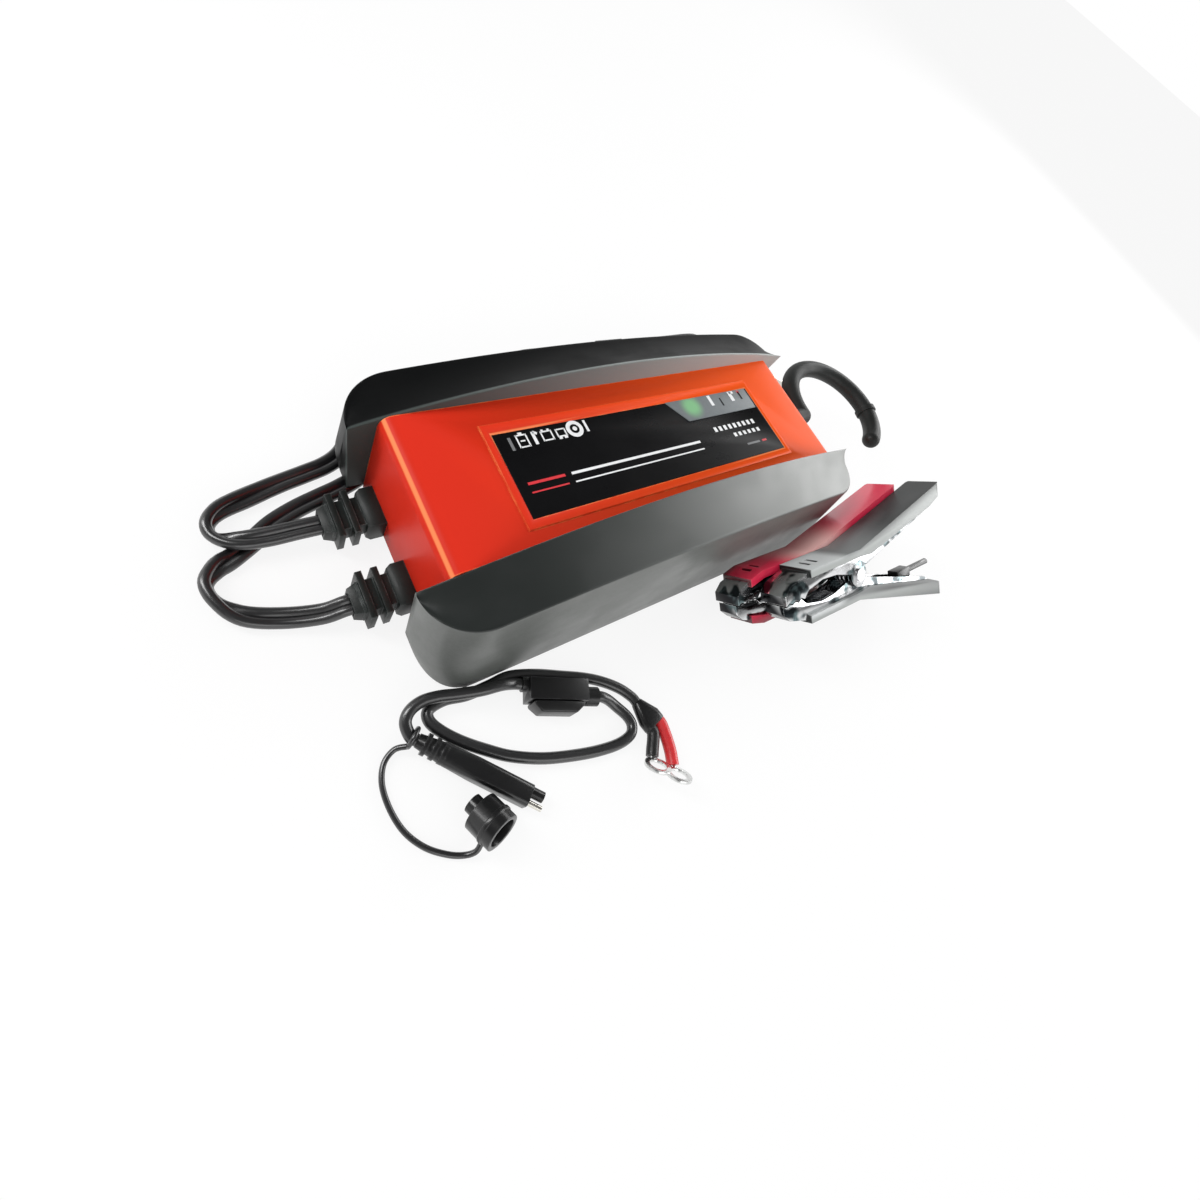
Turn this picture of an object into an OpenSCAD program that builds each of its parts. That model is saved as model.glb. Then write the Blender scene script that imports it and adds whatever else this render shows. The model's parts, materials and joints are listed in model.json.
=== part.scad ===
// Small car battery charger with two side rails, a swivel hook, two flat leads,
// a pair of battery clamps and a ring-terminal harness lying beside it.
// Origin: centre of the underside, on the surface that it stands on. +Z up,
// +X towards the hook, -Y towards the clamps and the harness. Millimetres.

/* [Case] */
// length of the top cover
case_l = 168; // [150:1:190]
// width of the top cover
case_w = 49.6; // [46:0.2:60]
// height of the top cover above the surface
case_top = 38.5; // [36:0.5:42]
// wall thickness of the top cover
case_wall = 2.2; // [1.8:0.1:2.6]
// radius of the cover's upper end edges
case_edge_r = 4; // [2:0.5:6]
// thickness of the base cover
base_t = 2.2; // [1.8:0.1:3]
// height of the rubber feet
foot_h = 2; // [1:0.5:3]

/* [Rails] */
// overall length of the rails
rail_l = 184.4; // [176:0.2:200]
// width of each rail at its foot
rail_w = 21.5; // [19:0.5:26]
// how far the outer wall leans in at its top
rail_draft = 5.1; // [2:0.1:7]
// radius of the rounded noses in plan
nose_r = 16; // [12:0.5:18]
// height of the crest beside the cover
crest_h = 48.8; // [46:0.2:54]
// height of the outer edge at mid length
edge_h = 41.7; // [40:0.2:44]
// wall thickness inside the hollow part of a rail
rail_wall = 2.6; // [2:0.1:3]

/* [Label] */
// length of the label
label_l = 114; // [100:1:120]
// width of the label
label_w = 29; // [26:0.5:32]
// thickness of the label
label_t = 0.6; // [0.4:0.1:0.8]
// height of the raised pad around the label
pad_h = 0.6; // [0.4:0.1:1]

/* [Hook] */
// diameter of the hook's rod
hook_rod_d = 7.8; // [6:0.2:9]
// mean radius of the hook
hook_r = 23.5; // [20:0.5:26]
// height of the hook's swivel axis
hook_z = 28; // [25:0.5:30]
// diameter of the hook's stem in its bush
stem_d = 6; // [5:0.1:6.5]
// radial running clearance of the stem
stem_gap = 0.05; // [0.02:0.01:0.1]

/* [Leads] */
// width of a flat lead
lead_w = 6.2; // [5.5:0.1:6.6]
// thickness of a flat lead
lead_t = 3.1; // [2.6:0.1:3.2]
// distance of each lead from the middle of the end wall
relief_y = 13; // [11:0.5:15]
// height of the strain reliefs' centre
relief_z = 6.4; // [6.2:0.1:7]
// diameter of the harness cable
harness_d = 3.4; // [2.8:0.1:3.5]
// diameter of the cap's tether
tether_d = 1.6; // [1.2:0.1:2]

/* [Clamps] */
// length of a clamp
clamp_l = 98; // [92:1:104]
// width of a clamp's upper steel channel
clamp_w = 11; // [10:0.2:12]
// height of a clamp's handle ends above its middle plane
handle_h = 23; // [20:0.5:26]
// sheet thickness of the jaws
sheet_t = 1.2; // [1:0.1:1.4]
// thickness of the plastic covers
cover_t = 1.2; // [1:0.1:1.4]
// diameter of the pivot pin
pin_d = 3.2; // [2.8:0.1:3.6]

/* [Inside] */
// clearance between each end of the circuit board and the cover's end wall
board_gap = 11.8; // [11.6:0.2:18]
// width of the circuit board
board_w = 40; // [34:0.5:42]
// thickness of the circuit board
board_t = 1.6; // [1:0.1:2]
// height of the board's underside
board_z = 9; // [8:0.5:10]
// diameter of the cover screws
screw_d = 3; // [2.5:0.1:3.5]

/* [Hidden] */
$fn = 48;

eps = 0.01;
case_z = foot_h;
case_in_x = case_l / 2 - case_wall;
case_in_y = case_w / 2 - case_wall;
base_top = case_z + base_t;
seal_w = 0.8;
rail_y = case_w / 2;
wall_y = rail_y + rail_w;
boss_x = case_in_x - 5.8;
boss_y = case_in_y - 5.1;
boss_r = 3.6;
board_l = 2 * (case_in_x - board_gap);
// places along the board are drawn for a board of this length, and keep to its share
board_drawn_l = 140;
function on_board(x) = x * board_l / board_drawn_l;
standoff_x = board_l / 2 - 6;
standoff_y = board_w / 2 - 5;
standoff_r = 3;
board_top = board_z + board_t;
rail_screw_x = 65;
rail_screw_z = 26;
label_x = 1.5;
label_y = -2;
window_z = case_top + pad_h;
guide_x = [26, 36.2, 47.9, 54.5];
guide_y = 8.6;
guide_r = 1.5;
led_h = 2.4;

// ---- path and sweep helpers -------------------------------------------
function unit(v) = v / norm(v);
function xyz(p) = [p[0], p[1], p[2]];
function spline_at(p, i, t) =
  let (
    a = p[max(i - 1, 0)],
    b = p[i],
    c = p[i + 1],
    d = p[min(i + 2, len(p) - 1)]
  )
  (2 * b + (c - a) * t + (2 * a - 5 * b + 4 * c - d) * t * t + (3 * b - a - 3 * c + d) * t * t * t) / 2;
// smooth line through the points p, with n steps between each two
function spline(p, n) = [
  for (i = [0:len(p) - 2], k = [0:n - 1]) spline_at(p, i, k / n),
  p[len(p) - 1]
];
function heading(q, i) = unit(xyz(q[min(i + 1, len(q) - 1)]) - xyz(q[max(i - 1, 0)]));
function ring_at(q, i, section) =
  let (
    t = heading(q, i),
    side = unit(cross([0, 0, 1], t)),
    up = cross(t, side),
    a = q[i][3]
  )
  [for (s = section)
    xyz(q[i]) + side * (s[0] * cos(a) - s[1] * sin(a)) + up * (s[0] * sin(a) + s[1] * cos(a))];
function total(v, i = 0) = i < len(v) ? v[i] + total(v, i + 1) : 0;
function path_length(q) = total([for (i = [1:len(q) - 1]) norm(xyz(q[i]) - xyz(q[i - 1]))]);
// least distance between the points of rings that are at least skip rings apart
function least_gap(rings, skip, near) =
  min([for (i = [0:len(rings) - 1 - skip], j = [i + skip:len(rings) - 1])
    if (norm(rings[i][0] - rings[j][0]) < near) each [for (a = rings[i], b = rings[j]) norm(a - b)]]);

module sweep(q, section) {
  n = len(section);
  m = len(q);
  points = [for (i = [0:m - 1]) each ring_at(q, i, section)];
  sides = [for (i = [0:m - 2], k = [0:n - 1])
    [i * n + k, (i + 1) * n + k, (i + 1) * n + (k + 1) % n, i * n + (k + 1) % n]];
  first = [for (k = [0:n - 1]) k];
  last = [for (k = [n - 1:-1:0]) (m - 1) * n + k];
  polyhedron(points = points, faces = concat(sides, [first, last]), convexity = 10);
}
// outline of a round cable, and of a flat lead with a groove between its two cores
function round_section(d, n) = [for (k = [0:n - 1]) [cos(k * 360 / n), sin(k * 360 / n)] * d / 2];
function twin_section(w, t) = [
  [w / 2, 0], [w / 2 - 0.45 * t, t / 2], [0.3 * t, t / 2], [0, 0.3 * t], [-0.3 * t, t / 2],
  [0.45 * t - w / 2, t / 2], [-w / 2, 0], [0.45 * t - w / 2, -t / 2], [0, -t / 2],
  [w / 2 - 0.45 * t, -t / 2]
];
function flat_section(w, t) = [
  [w / 2, 0], [w / 4, t / 2], [-w / 4, t / 2], [-w / 2, 0], [-w / 4, -t / 2], [w / 4, -t / 2]
];

// ---- small helpers ------------------------------------------------------
module box(x0, x1, y0, y1, z0, z1) {
  translate([x0, y0, z0]) cube([x1 - x0, y1 - y0, z1 - z0]);
}
module mid_box(x, y, z0, lx, ly, lz) {
  translate([x - lx / 2, y - ly / 2, z0]) cube([lx, ly, lz]);
}
module at_corners(x, y) {
  for (sx = [-1, 1], sy = [-1, 1]) translate([sx * x, sy * y, 0]) children();
}
// side outline of the cover, lying in X and Z, with round upper corners
module cover_outline(half_l, top, r, low) {
  translate([-half_l, low]) square([2 * half_l, top - r - low]);
  translate([r - half_l, low]) square([2 * (half_l - r), top - low]);
  for (s = [-1, 1]) translate([s * (half_l - r), top - r]) circle(r);
}
module along_y(w) {
  rotate([90, 0, 0]) linear_extrude(w, center = true) children();
}

// ---- case ---------------------------------------------------------------
module top_cover() {
  color([0.86, 0.22, 0.12]) difference() {
    union() {
      along_y(case_w) cover_outline(case_l / 2, case_top, case_edge_r, case_z);
      mid_box(label_x, label_y + 0.6, case_top - eps, label_l + 5, label_w + 7, pad_h + eps);
    }
    difference() {
      along_y(2 * case_in_y)
        cover_outline(case_in_x, case_top - case_wall, case_edge_r - 1.5, case_z - 1);
      at_corners(boss_x, boss_y) translate([0, 0, base_top]) cylinder(h = case_top, r = boss_r);
    }
    at_corners(boss_x, boss_y) translate([0, 0, case_z]) cylinder(h = 16, d = screw_d - 0.4);
    // recess for the label and holes for the light guides
    mid_box(label_x, label_y, window_z - label_t, label_l, label_w, label_t + 1);
    for (x = guide_x) translate([x, guide_y, case_top - 6]) cylinder(h = 8, r = guide_r + 0.1);
    // swivel bush, lead and rail screw openings
    translate([case_in_x - 1, 0, hook_z]) rotate([0, 90, 0]) cylinder(h = 4, r = bush_r);
    for (s = [-1, 1]) translate([0, s * relief_y, relief_z]) relief_neck();
    at_rail_screws() translate([0, 0, case_in_y - 1]) cylinder(h = case_wall + 2, d = screw_d + 0.4);
  }
}
module at_rail_screws() {
  for (sx = [-1, 1], s = [-1, 1])
    translate([sx * rail_screw_x, 0, rail_screw_z]) rotate([-90 * s, 0, 0]) children();
}
module base_cover() {
  color([0.13, 0.13, 0.14]) difference() {
    union() {
      mid_box(0, 0, case_z, 2 * (case_in_x - seal_w), 2 * (case_in_y - seal_w), base_t);
      mid_box(0, 0, 0, 2 * (case_in_x - seal_w) - 0.6, 2 * (case_in_y - seal_w) - 0.6, case_z + eps);
      at_corners(standoff_x, standoff_y) translate([0, 0, base_top - eps])
        cylinder(h = board_z - base_top + eps, r = standoff_r);
    }
    at_corners(standoff_x, standoff_y) translate([0, 0, case_z + 1.5]) cylinder(h = 12, d = 2.1);
    at_corners(boss_x, boss_y) {
      translate([0, 0, -1]) cylinder(h = base_top + 2, d = screw_d + 0.4);
      translate([0, 0, -1]) cylinder(h = case_z + 2.2, d = 2 * screw_d + 0.2);
    }
  }
}
module cover_seal() {
  color([0.08, 0.08, 0.08]) difference() {
    mid_box(0, 0, case_z, 2 * case_in_x, 2 * case_in_y, base_t);
    mid_box(0, 0, case_z - 1, 2 * (case_in_x - seal_w), 2 * (case_in_y - seal_w), base_t + 2);
  }
}
module cover_screws() {
  color([0.6, 0.6, 0.62]) at_corners(boss_x, boss_y) {
    translate([0, 0, case_z + 0.1]) cylinder(h = 1.1, d = 2 * screw_d);
    translate([0, 0, case_z + 1.1]) cylinder(h = 12, d = screw_d - 0.4);
  }
}
module rail_screws() {
  color([0.6, 0.6, 0.62]) at_rail_screws() {
    translate([0, 0, case_in_y - 1.6]) cylinder(h = 1.6, d = 2 * screw_d);
    translate([0, 0, case_in_y - eps]) cylinder(h = case_wall + 9, d = screw_d - 0.4);
  }
}

// ---- rails --------------------------------------------------------------
stations = 40;
rail_x = [for (i = [0:stations]) -cos(i * 180 / stations) * rail_l / 2];
function nose_in(x, r) =
  let (over = max(0, abs(x) - (rail_l / 2 - r)))
  r - sqrt(max(0, r * r - over * over));
function crest_z(x) =
  x < 5 ? crest_h - 13.5 * pow((x - 5) / 97, 2) : crest_h - 8.8 * pow((x - 5) / 87, 2);
function edge_z(x) = edge_h - 5.9 * pow(x / 90, 2);
scoop = 0.8;
nose_pull = 3.4;
function rail_ring(x) =
  let (
    c = nose_in(x, nose_r),
    yo = max(rail_y + 1.2, wall_y - c),
    ye = max(rail_y + 0.8, wall_y - rail_draft - c),
    zc = crest_z(x),
    ze = min(edge_z(x), zc - 0.3),
    w = max(0, abs(x) - (rail_l / 2 - nose_r)) / nose_r,
    pull = nose_pull * w * w * sign(x)
  )
  [
    [x - pull, rail_y, case_z],
    [x, rail_y, zc],
    [x, rail_y + (ye - rail_y) * 0.3, zc + (ze - zc) * 0.3 - scoop],
    [x, rail_y + (ye - rail_y) * 0.7, zc + (ze - zc) * 0.7 - scoop],
    [x, ye, ze],
    [x, ye + (yo - ye) * 0.12, ze - 1.2],
    [x - pull * 0.3, ye + (yo - ye) * 0.75, case_z + 10],
    [x - pull, yo, case_z]
  ];
module rail_solid() {
  n = 8;
  points = [for (x = rail_x) each rail_ring(x)];
  sides = [for (i = [0:stations - 1], k = [0:n - 1])
    each [[i * n + k, (i + 1) * n + (k + 1) % n, (i + 1) * n + k],
      [i * n + k, i * n + (k + 1) % n, (i + 1) * n + (k + 1) % n]]];
  first = [for (k = [1:n - 2]) [0, k + 1, k]];
  last = [for (k = [1:n - 2]) [0, k, k + 1] + [1, 1, 1] * stations * n];
  polyhedron(points = points, faces = concat(sides, first, last), convexity = 6);
}
hollow_x = 56;
// the rail is open towards the cover, which closes it, and has two screw holes
module rail_hollow() {
  box(-hollow_x, hollow_x, rail_y - 1, wall_y - rail_draft - rail_wall, case_z + rail_wall, edge_h - 8);
  for (s = [-1, 1]) translate([s * rail_screw_x, rail_y - 1, rail_screw_z])
    rotate([-90, 0, 0]) cylinder(h = 11, d = screw_d - 0.4);
}
groove_d = lead_t - foot_h + 0.6;
// outline of the shallow relief in which both leads pass under the far nose
groove_pts = [
  [-97, 20], [-97, 39.4], [-90, 39.4], [-87, 42], [-84.6, 47], [-83, 53], [-59, 53], [-61, 46],
  [-65, 39], [-70, 33.4], [-76, 28.6], [-84, 24.4], [-88, 20]
];
module far_rail() {
  color([0.09, 0.09, 0.1]) difference() {
    rail_solid();
    translate([0, 0, case_z - 1]) linear_extrude(groove_d + 1) polygon(groove_pts);
    rail_hollow();
  }
}
module near_rail() {
  color([0.25, 0.26, 0.26]) mirror([0, 1, 0]) difference() {
    rail_solid();
    rail_hollow();
  }
}
foot_l = 25;
foot_w = 10;
module feet() {
  foot_x = rail_l / 2 - 13 - foot_l / 2;
  foot_y = wall_y - 0.5 - foot_w / 2;
  color([0.05, 0.05, 0.05])
    for (p = [[-foot_x, -foot_y], [foot_x, -foot_y], [21 - foot_x, foot_y], [foot_x, foot_y]])
      mid_box(p[0], p[1], 0, foot_l, foot_w, foot_h);
}

// ---- label --------------------------------------------------------------
window_pts = [[14.3, 12.5], [20.4, 3.2], [57.4, 3.2], [57.4, 12.5]];
module label_panel() {
  color([0.03, 0.03, 0.03]) difference() {
    mid_box(label_x, label_y, window_z - label_t, label_l, label_w, label_t + 0.1);
    translate([0, 0, window_z - 2]) linear_extrude(4) polygon(window_pts);
  }
}
module indicator_window() {
  color([0.45, 0.47, 0.5]) translate([0, 0, window_z - label_t])
    linear_extrude(label_t + 0.3) polygon(window_pts);
}

// ---- inside -------------------------------------------------------------
module circuit_board() {
  color([0.05, 0.3, 0.15]) difference() {
    mid_box(0, 0, board_z, board_l, board_w, board_t);
    at_corners(standoff_x, standoff_y) translate([0, 0, board_z - 1]) cylinder(h = 4, d = 2.8);
  }
}
module board_screws() {
  color([0.6, 0.6, 0.62]) at_corners(standoff_x, standoff_y) {
    translate([0, 0, board_top]) cylinder(h = 1.4, d = 4.6);
    translate([0, 0, board_z - 4]) cylinder(h = board_t + 4 + eps, d = 2.1);
  }
}
core_x = on_board(2);
module transformer_core() {
  color([0.18, 0.18, 0.19]) translate([core_x, -3, board_top]) {
    mid_box(0, 0, 0, 8, 28, 3);
    mid_box(0, 0, 17, 8, 28, 4);
    for (y = [-12, 12]) mid_box(0, y, 3 - eps, 8, 4, 14 + 2 * eps);
    translate([0, 0, 3 - eps]) cylinder(h = 14 + 2 * eps, r = 4);
  }
}
module transformer_winding() {
  color([0.75, 0.6, 0.15]) translate([core_x, -3, board_top + 3.2]) difference() {
    cylinder(h = 13.6, r = 9.4);
    translate([0, 0, -1]) cylinder(h = 16, r = 4.2);
  }
}
module capacitors() {
  color([0.1, 0.1, 0.2]) {
    translate([on_board(-36), -7, board_top]) cylinder(h = 20, r = 8);
    translate([on_board(-36), 11, board_top]) cylinder(h = 14, r = 4);
    for (x = [24, 37]) translate([on_board(x), -11, board_top]) cylinder(h = 16, r = 5);
  }
}
heat_x = on_board(-16);
module heatsink() {
  color([0.7, 0.7, 0.72]) {
    mid_box(heat_x, 0, board_top, 2, 34, 20);
    for (y = [-15:6:15]) mid_box(heat_x - 3, y, board_top + 3, 4 + 2 * eps, 1.4, 17);
  }
}
module power_transistors() {
  color([0.06, 0.06, 0.06]) for (y = [8, -13])
    mid_box(heat_x + 3.3, y, board_top, 4.6, 9, 15);
}
module indicator_leds() {
  color([0.3, 0.8, 0.3]) for (x = guide_x) mid_box(x, guide_y, board_top, 3.2, 2.8, led_h);
}
module light_guides() {
  color([0.85, 0.9, 0.9]) for (x = guide_x) translate([x, guide_y, board_top + led_h])
    cylinder(h = window_z - label_t - board_top - led_h, r = guide_r);
}
fuse_x = on_board(-52);
module board_fuse() {
  color([0.85, 0.85, 0.8]) {
    translate([fuse_x, 0, board_top + 3]) rotate([0, 90, 0]) cylinder(h = 14, r = 2.6, center = true);
    for (s = [-1, 1]) mid_box(fuse_x + s * 5.5, 0, board_top, 2, 5.2, 2.4);
  }
}
term_x = on_board(-55);
term_y = relief_y - 3.9;
module lead_terminals() {
  color([0.1, 0.35, 0.2]) for (s = [-1, 1]) difference() {
    mid_box(term_x, s * term_y, board_top, 9, 10, 8.5);
    for (k = [-1, 1]) translate([term_x, s * term_y + k * 2.4, board_top + 4])
      cylinder(h = 6, d = 2.6);
  }
}
module inner_leads() {
  color([0.7, 0.3, 0.2]) for (s = [-1, 1], k = [-1, 1])
    sweep(spline([
      [relief_in_x, s * (relief_y - 1) + k, relief_z, 0],
      [relief_in_x + 1.2, s * (relief_y - 1) + k, relief_z, 0],
      [relief_in_x + 3.8, s * (relief_y - 1.5) + k, 8, 0],
      [relief_in_x + 7.9, s * (relief_y - 2) + k * 1.4, 12.4, 0],
      [term_x - 11, s * (term_y + 0.6) + k * 2.2, 14.8, 0],
      [term_x - 6, s * term_y + k * 2.4, board_top + 4.5, 0],
      [term_x - 4.5, s * term_y + k * 2.4, board_top + 4.5, 0]
    ], 2), round_section(1.8, 8));
}

// ---- strain reliefs -----------------------------------------------------
end_x = case_l / 2;
relief_in_x = 1.4 - case_in_x;
flange_t = 5.4;
flange_w = 13.4;
flange_h = 8.8;
neck_w = 9;
neck_h = 3.6;
rib_w = 14.4;
rib_h = 9.6;
nozzle_end = -end_x - 17;
lead_in_x = -end_x - 10.5;
module relief_neck() {
  translate([-end_x - 1, -neck_w / 2, -neck_h / 2]) cube([case_wall + 2, neck_w, neck_h]);
}
module strain_relief() {
  difference() {
    union() {
      hull() {
        mid_box(-end_x - 0.4 - 1.6, 0, -flange_h / 2, 4, flange_w, flange_h);
        mid_box(-end_x - flange_t + 0.5, 0, 0.8 - flange_h / 2, 1, flange_w - 1.6, flange_h - 1.6);
      }
      box(-end_x - eps, eps - case_in_x, -neck_w / 2, neck_w / 2, -neck_h / 2, neck_h / 2);
      box(-case_in_x, relief_in_x, -6, 6, -neck_h / 2, neck_h / 2 + 1.4);
      for (x = [8.6, 13]) mid_box(-end_x - x, 0, -rib_h / 2 + 0.4, 1.9, rib_w, rib_h - 0.8);
      box(nozzle_end + 2.4, -end_x - flange_t + eps, -4.8, 4.8, -3.1, 3.1);
      hull() {
        mid_box(nozzle_end + 2.6, 0, -2.9, 1, 9.2, 5.8);
        mid_box(nozzle_end + 0.5, 0, -2.3, 1, lead_w + 1.6, lead_t + 1.6);
      }
    }
    box(nozzle_end - 1, lead_in_x, -lead_w / 2 - 0.1, lead_w / 2 + 0.1, -lead_t / 2 - 0.1, lead_t / 2 + 0.1);
  }
}
module ac_strain_relief() {
  color([0.2, 0.21, 0.21]) translate([0, relief_y, relief_z]) strain_relief();
}
module dc_strain_relief() {
  color([0.2, 0.21, 0.21]) translate([0, -relief_y, relief_z]) strain_relief();
}

// ---- hook ---------------------------------------------------------------
bush_r = 4.6;
hook_x = end_x + 37;
clip_x = case_in_x - 4;
module hook() {
  color([0.08, 0.08, 0.09]) union() {
    translate([hook_x, 0, hook_z]) {
      rotate([0, 0, -60]) rotate_extrude(angle = 240) translate([hook_r, 0]) circle(d = hook_rod_d);
      rotate([0, 0, -60]) translate([hook_r, 0, 0]) sphere(d = hook_rod_d);
      rotate([0, 0, -14]) translate([hook_r, 0, 0]) rotate([90, 0, 0])
        cylinder(h = 2.4, d = hook_rod_d + 1.4, center = true);
      rotate([0, 0, 180]) translate([hook_r, 0, 0]) sphere(d = hook_rod_d);
    }
    translate([end_x + 2.8, 0, hook_z]) rotate([0, 90, 0])
      cylinder(h = hook_x - hook_r - end_x - 2.8, d = hook_rod_d);
    translate([clip_x - 2.4, 0, hook_z]) rotate([0, 90, 0])
      cylinder(h = end_x + 3 - clip_x + 2.4, d = stem_d);
  }
}
module hook_bush() {
  color([0.1, 0.1, 0.11]) translate([0, 0, hook_z]) rotate([0, 90, 0]) difference() {
    union() {
      translate([0, 0, clip_x + 1.4]) cylinder(h = end_x - clip_x - 1.4 + eps, r = bush_r);
      translate([0, 0, end_x]) cylinder(h = 2.5, r = bush_r + 1.8);
    }
    translate([0, 0, clip_x]) cylinder(h = 12, r = stem_d / 2 + stem_gap);
  }
}
module hook_clip() {
  color([0.6, 0.6, 0.62]) translate([clip_x, 0, hook_z]) rotate([0, 90, 0]) difference() {
    cylinder(h = 1.1, r = bush_r);
    translate([0, 0, -1]) cylinder(h = 4, r = stem_d / 2);
  }
}

// ---- leads --------------------------------------------------------------
// the mains lead's hank behind the far rail: flat runs standing on edge
hank_x0 = -9;
hank_x1 = 81;
hank_y = 57.2;
hank_waist = 0.08;
hank_layer = lead_w + 0.5;
hank_r = [9.7, 7.725, 5.75, 3.775, 5.75];
hank_z = [0, 0, 0, 1, 1];
// x, y, z of the middle of the lead and its twist about its own line
ac_start = [
  [lead_in_x, relief_y, relief_z, 0],
  [lead_in_x - 3.5, relief_y, relief_z, 0],
  [lead_in_x - 7, relief_y, relief_z, 0]
];
ac_points = [
  [-107, 13.3, 6, 0],
  [-115, 13.8, 5.2, 0],
  [-122, 15, 4.8, 20],
  [-126.8, 18.6, 3.3, 70],
  [-127.2, 22.6, 3.3, 80],
  [-123.5, 26.2, 3.1, 60],
  [-116, 29, 2.2, 25],
  [-107, 31.6, 1.8, 0],
  [-99, 33.4, 1.7, 0],
  [-92.5, 35, 1.7, 0],
  [-87.4, 37.6, 1.7, 0],
  [-83, 42, 1.7, 0],
  [-79, 47.6, 1.8, 5],
  [-74.6, 53.4, 2.6, 40],
  [-69, 58.6, 3.3, 80],
  [-62, 62.4, 3.3, 90],
  [-53, 64.8, 3.3, 90],
  [-42, 66, 3.3, 90],
  [-30, 66.7, 3.3, 90],
  [-20, 66.9, 3.3, 90],
  [hank_x0, hank_y + hank_r[0], 3.3, 90]
];
dc_start = [
  [lead_in_x, -relief_y, relief_z, 0],
  [lead_in_x - 3.5, -relief_y, relief_z, 0],
  [lead_in_x - 8, -relief_y, relief_z - 0.05, 0]
];
dc_points = [
  [-108, -12.2, 3.6, 0],
  [-117, -9.4, 1.9, 0],
  [-125.4, -5.8, 2.3, 20],
  [-130.4, -0.4, 3.1, 70],
  [-131.6, 5.2, 3.2, 80],
  [-128.4, 9.2, 2.7, 50],
  [-123.5, 11.8, 1.75, 0],
  [-118, 15, 1.7, 0],
  [-112, 19, 1.7, 0],
  [-105, 22, 1.7, 0],
  [-97.6, 24.2, 1.7, 0],
  [-90.4, 26.2, 1.7, 0],
  [-83, 29.2, 1.7, 0],
  [-76.4, 33.6, 1.7, 0],
  [-72, 39.2, 1.7, 0],
  [-69, 45, 1.7, 0],
  [-65.4, 50, 1.8, 0],
  [-61, 52.6, 2.8, 0],
  [-58.5, 52.8, 3.4, 0],
  [-56.5, 52.8, 3.4, 0]
];
// the loops are drawn for an end wall at loop_end_x, and move with it
loop_end_x = 84;
function by_end_wall(p) = [for (q = p)
  [q[0] - (end_x - loop_end_x) * min(1, max(0, (-q[0] - 92) / 10)), q[1], q[2], q[3]]];
ac_path = spline(concat(ac_start, by_end_wall(ac_points)), 3);
dc_path = spline(concat(dc_start, by_end_wall(dc_points)), 3);
module ac_cord() {
  color([0.05, 0.05, 0.05]) sweep(ac_path, twin_section(lead_w, lead_t));
}
module dc_cord() {
  color([0.05, 0.05, 0.05]) sweep(dc_path, twin_section(lead_w, lead_t));
}
run_n = 9;
turn_n = 8;
function waist(x) = 1 - hank_waist * pow(sin(180 * (x - hank_x0) / (hank_x1 - hank_x0)), 2);
function hank_run(k) =
  let (
    s = k % 2 == 0 ? -1 : 1,
    r = hank_r[k],
    z0 = hank_z[k == 3 ? 2 : k],
    z1 = hank_z[k]
  )
  [for (i = [0:run_n])
    let (
      u = i / run_n,
      x = s < 0 ? hank_x0 + (hank_x1 - hank_x0) * u : hank_x1 - (hank_x1 - hank_x0) * u,
      v = u * u * (3 - 2 * u)
    )
    [x, hank_y - s * (k == 0 ? r : r * waist(x)), 3.3 + hank_layer * (z0 + (z1 - z0) * v), 90]];
function hank_turn(k) =
  let (
    s = k % 2 == 0 ? 1 : -1,
    xc = s > 0 ? hank_x1 : hank_x0
  )
  [for (i = [1:turn_n - 1])
    let (
      u = i / turn_n,
      r = hank_r[k] + (hank_r[k + 1] - hank_r[k]) * u
    )
    [xc + s * r * sin(180 * u), hank_y + s * r * cos(180 * u), 3.3 + hank_layer * hank_z[k], 90]];
ac_tail = [
  [87, 62.4, 9.6, 90],
  [92, 60.4, 7.4, 90],
  [97, 56, 5.6, 90],
  [100, 53, 5.6, 90]
];
hank_path = concat(
  hank_run(0), hank_turn(0), hank_run(1), hank_turn(1), hank_run(2), hank_turn(2), hank_run(3),
  hank_turn(3), hank_run(4), ac_tail
);
hank_rings = [for (i = [0:len(hank_path) - 1]) ring_at(hank_path, i, flat_section(lead_w, lead_t))];
echo(hank_rings = len(hank_path), hank_gap = least_gap(hank_rings, 4, 14));
echo(hank_length = path_length(hank_path), ac_length = path_length(ac_path),
  dc_length = path_length(dc_path));
module ac_cord_hank() {
  color([0.05, 0.05, 0.05]) sweep(hank_path, flat_section(lead_w, lead_t));
}
tie_x = (hank_x0 + hank_x1) / 2;
module ac_cord_tie() {
  y0 = hank_y - hank_r[1] * (1 - hank_waist) - lead_t / 2 - 0.1;
  y1 = hank_y + hank_r[0] + lead_t / 2 + 0.1;
  color([0.15, 0.15, 0.15]) translate([tie_x, 0, 0]) rotate([90, 0, 90])
    linear_extrude(8, center = true) difference() {
      polygon([[y0 - 0.4, 0], [y0 - 0.4, 14], [y1 - 5, 14], [y1 + 0.4, 7.6], [y1 + 0.4, 0]]);
      polygon([[y0, -1], [y0, 13.4], [y1 - 5.4, 13.4], [y1, 7.2], [y1, -1]]);
    }
}
plug_at = [100, 53, 5.6];
plug_turn = -45;
module ac_plug() {
  color([0.06, 0.06, 0.06]) translate(plug_at) rotate([0, 0, plug_turn]) {
    for (x = [0, 2.4, 4.8]) translate([x, 0, 0]) rotate([0, 90, 0])
      cylinder(h = 1.6, r = 4.2, $fn = 32);
    translate([0, 0, 0]) rotate([0, 90, 0]) cylinder(h = 7, r = 3.4, $fn = 32);
    hull() {
      translate([7, 0, 0]) rotate([0, 90, 0]) cylinder(h = 1, r = 4, $fn = 24);
      for (s = [-1, 1]) translate([14, s * 3.6, 0]) rotate([0, 90, 0])
        cylinder(h = 9, r = 5.2, $fn = 24);
    }
  }
}
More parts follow.
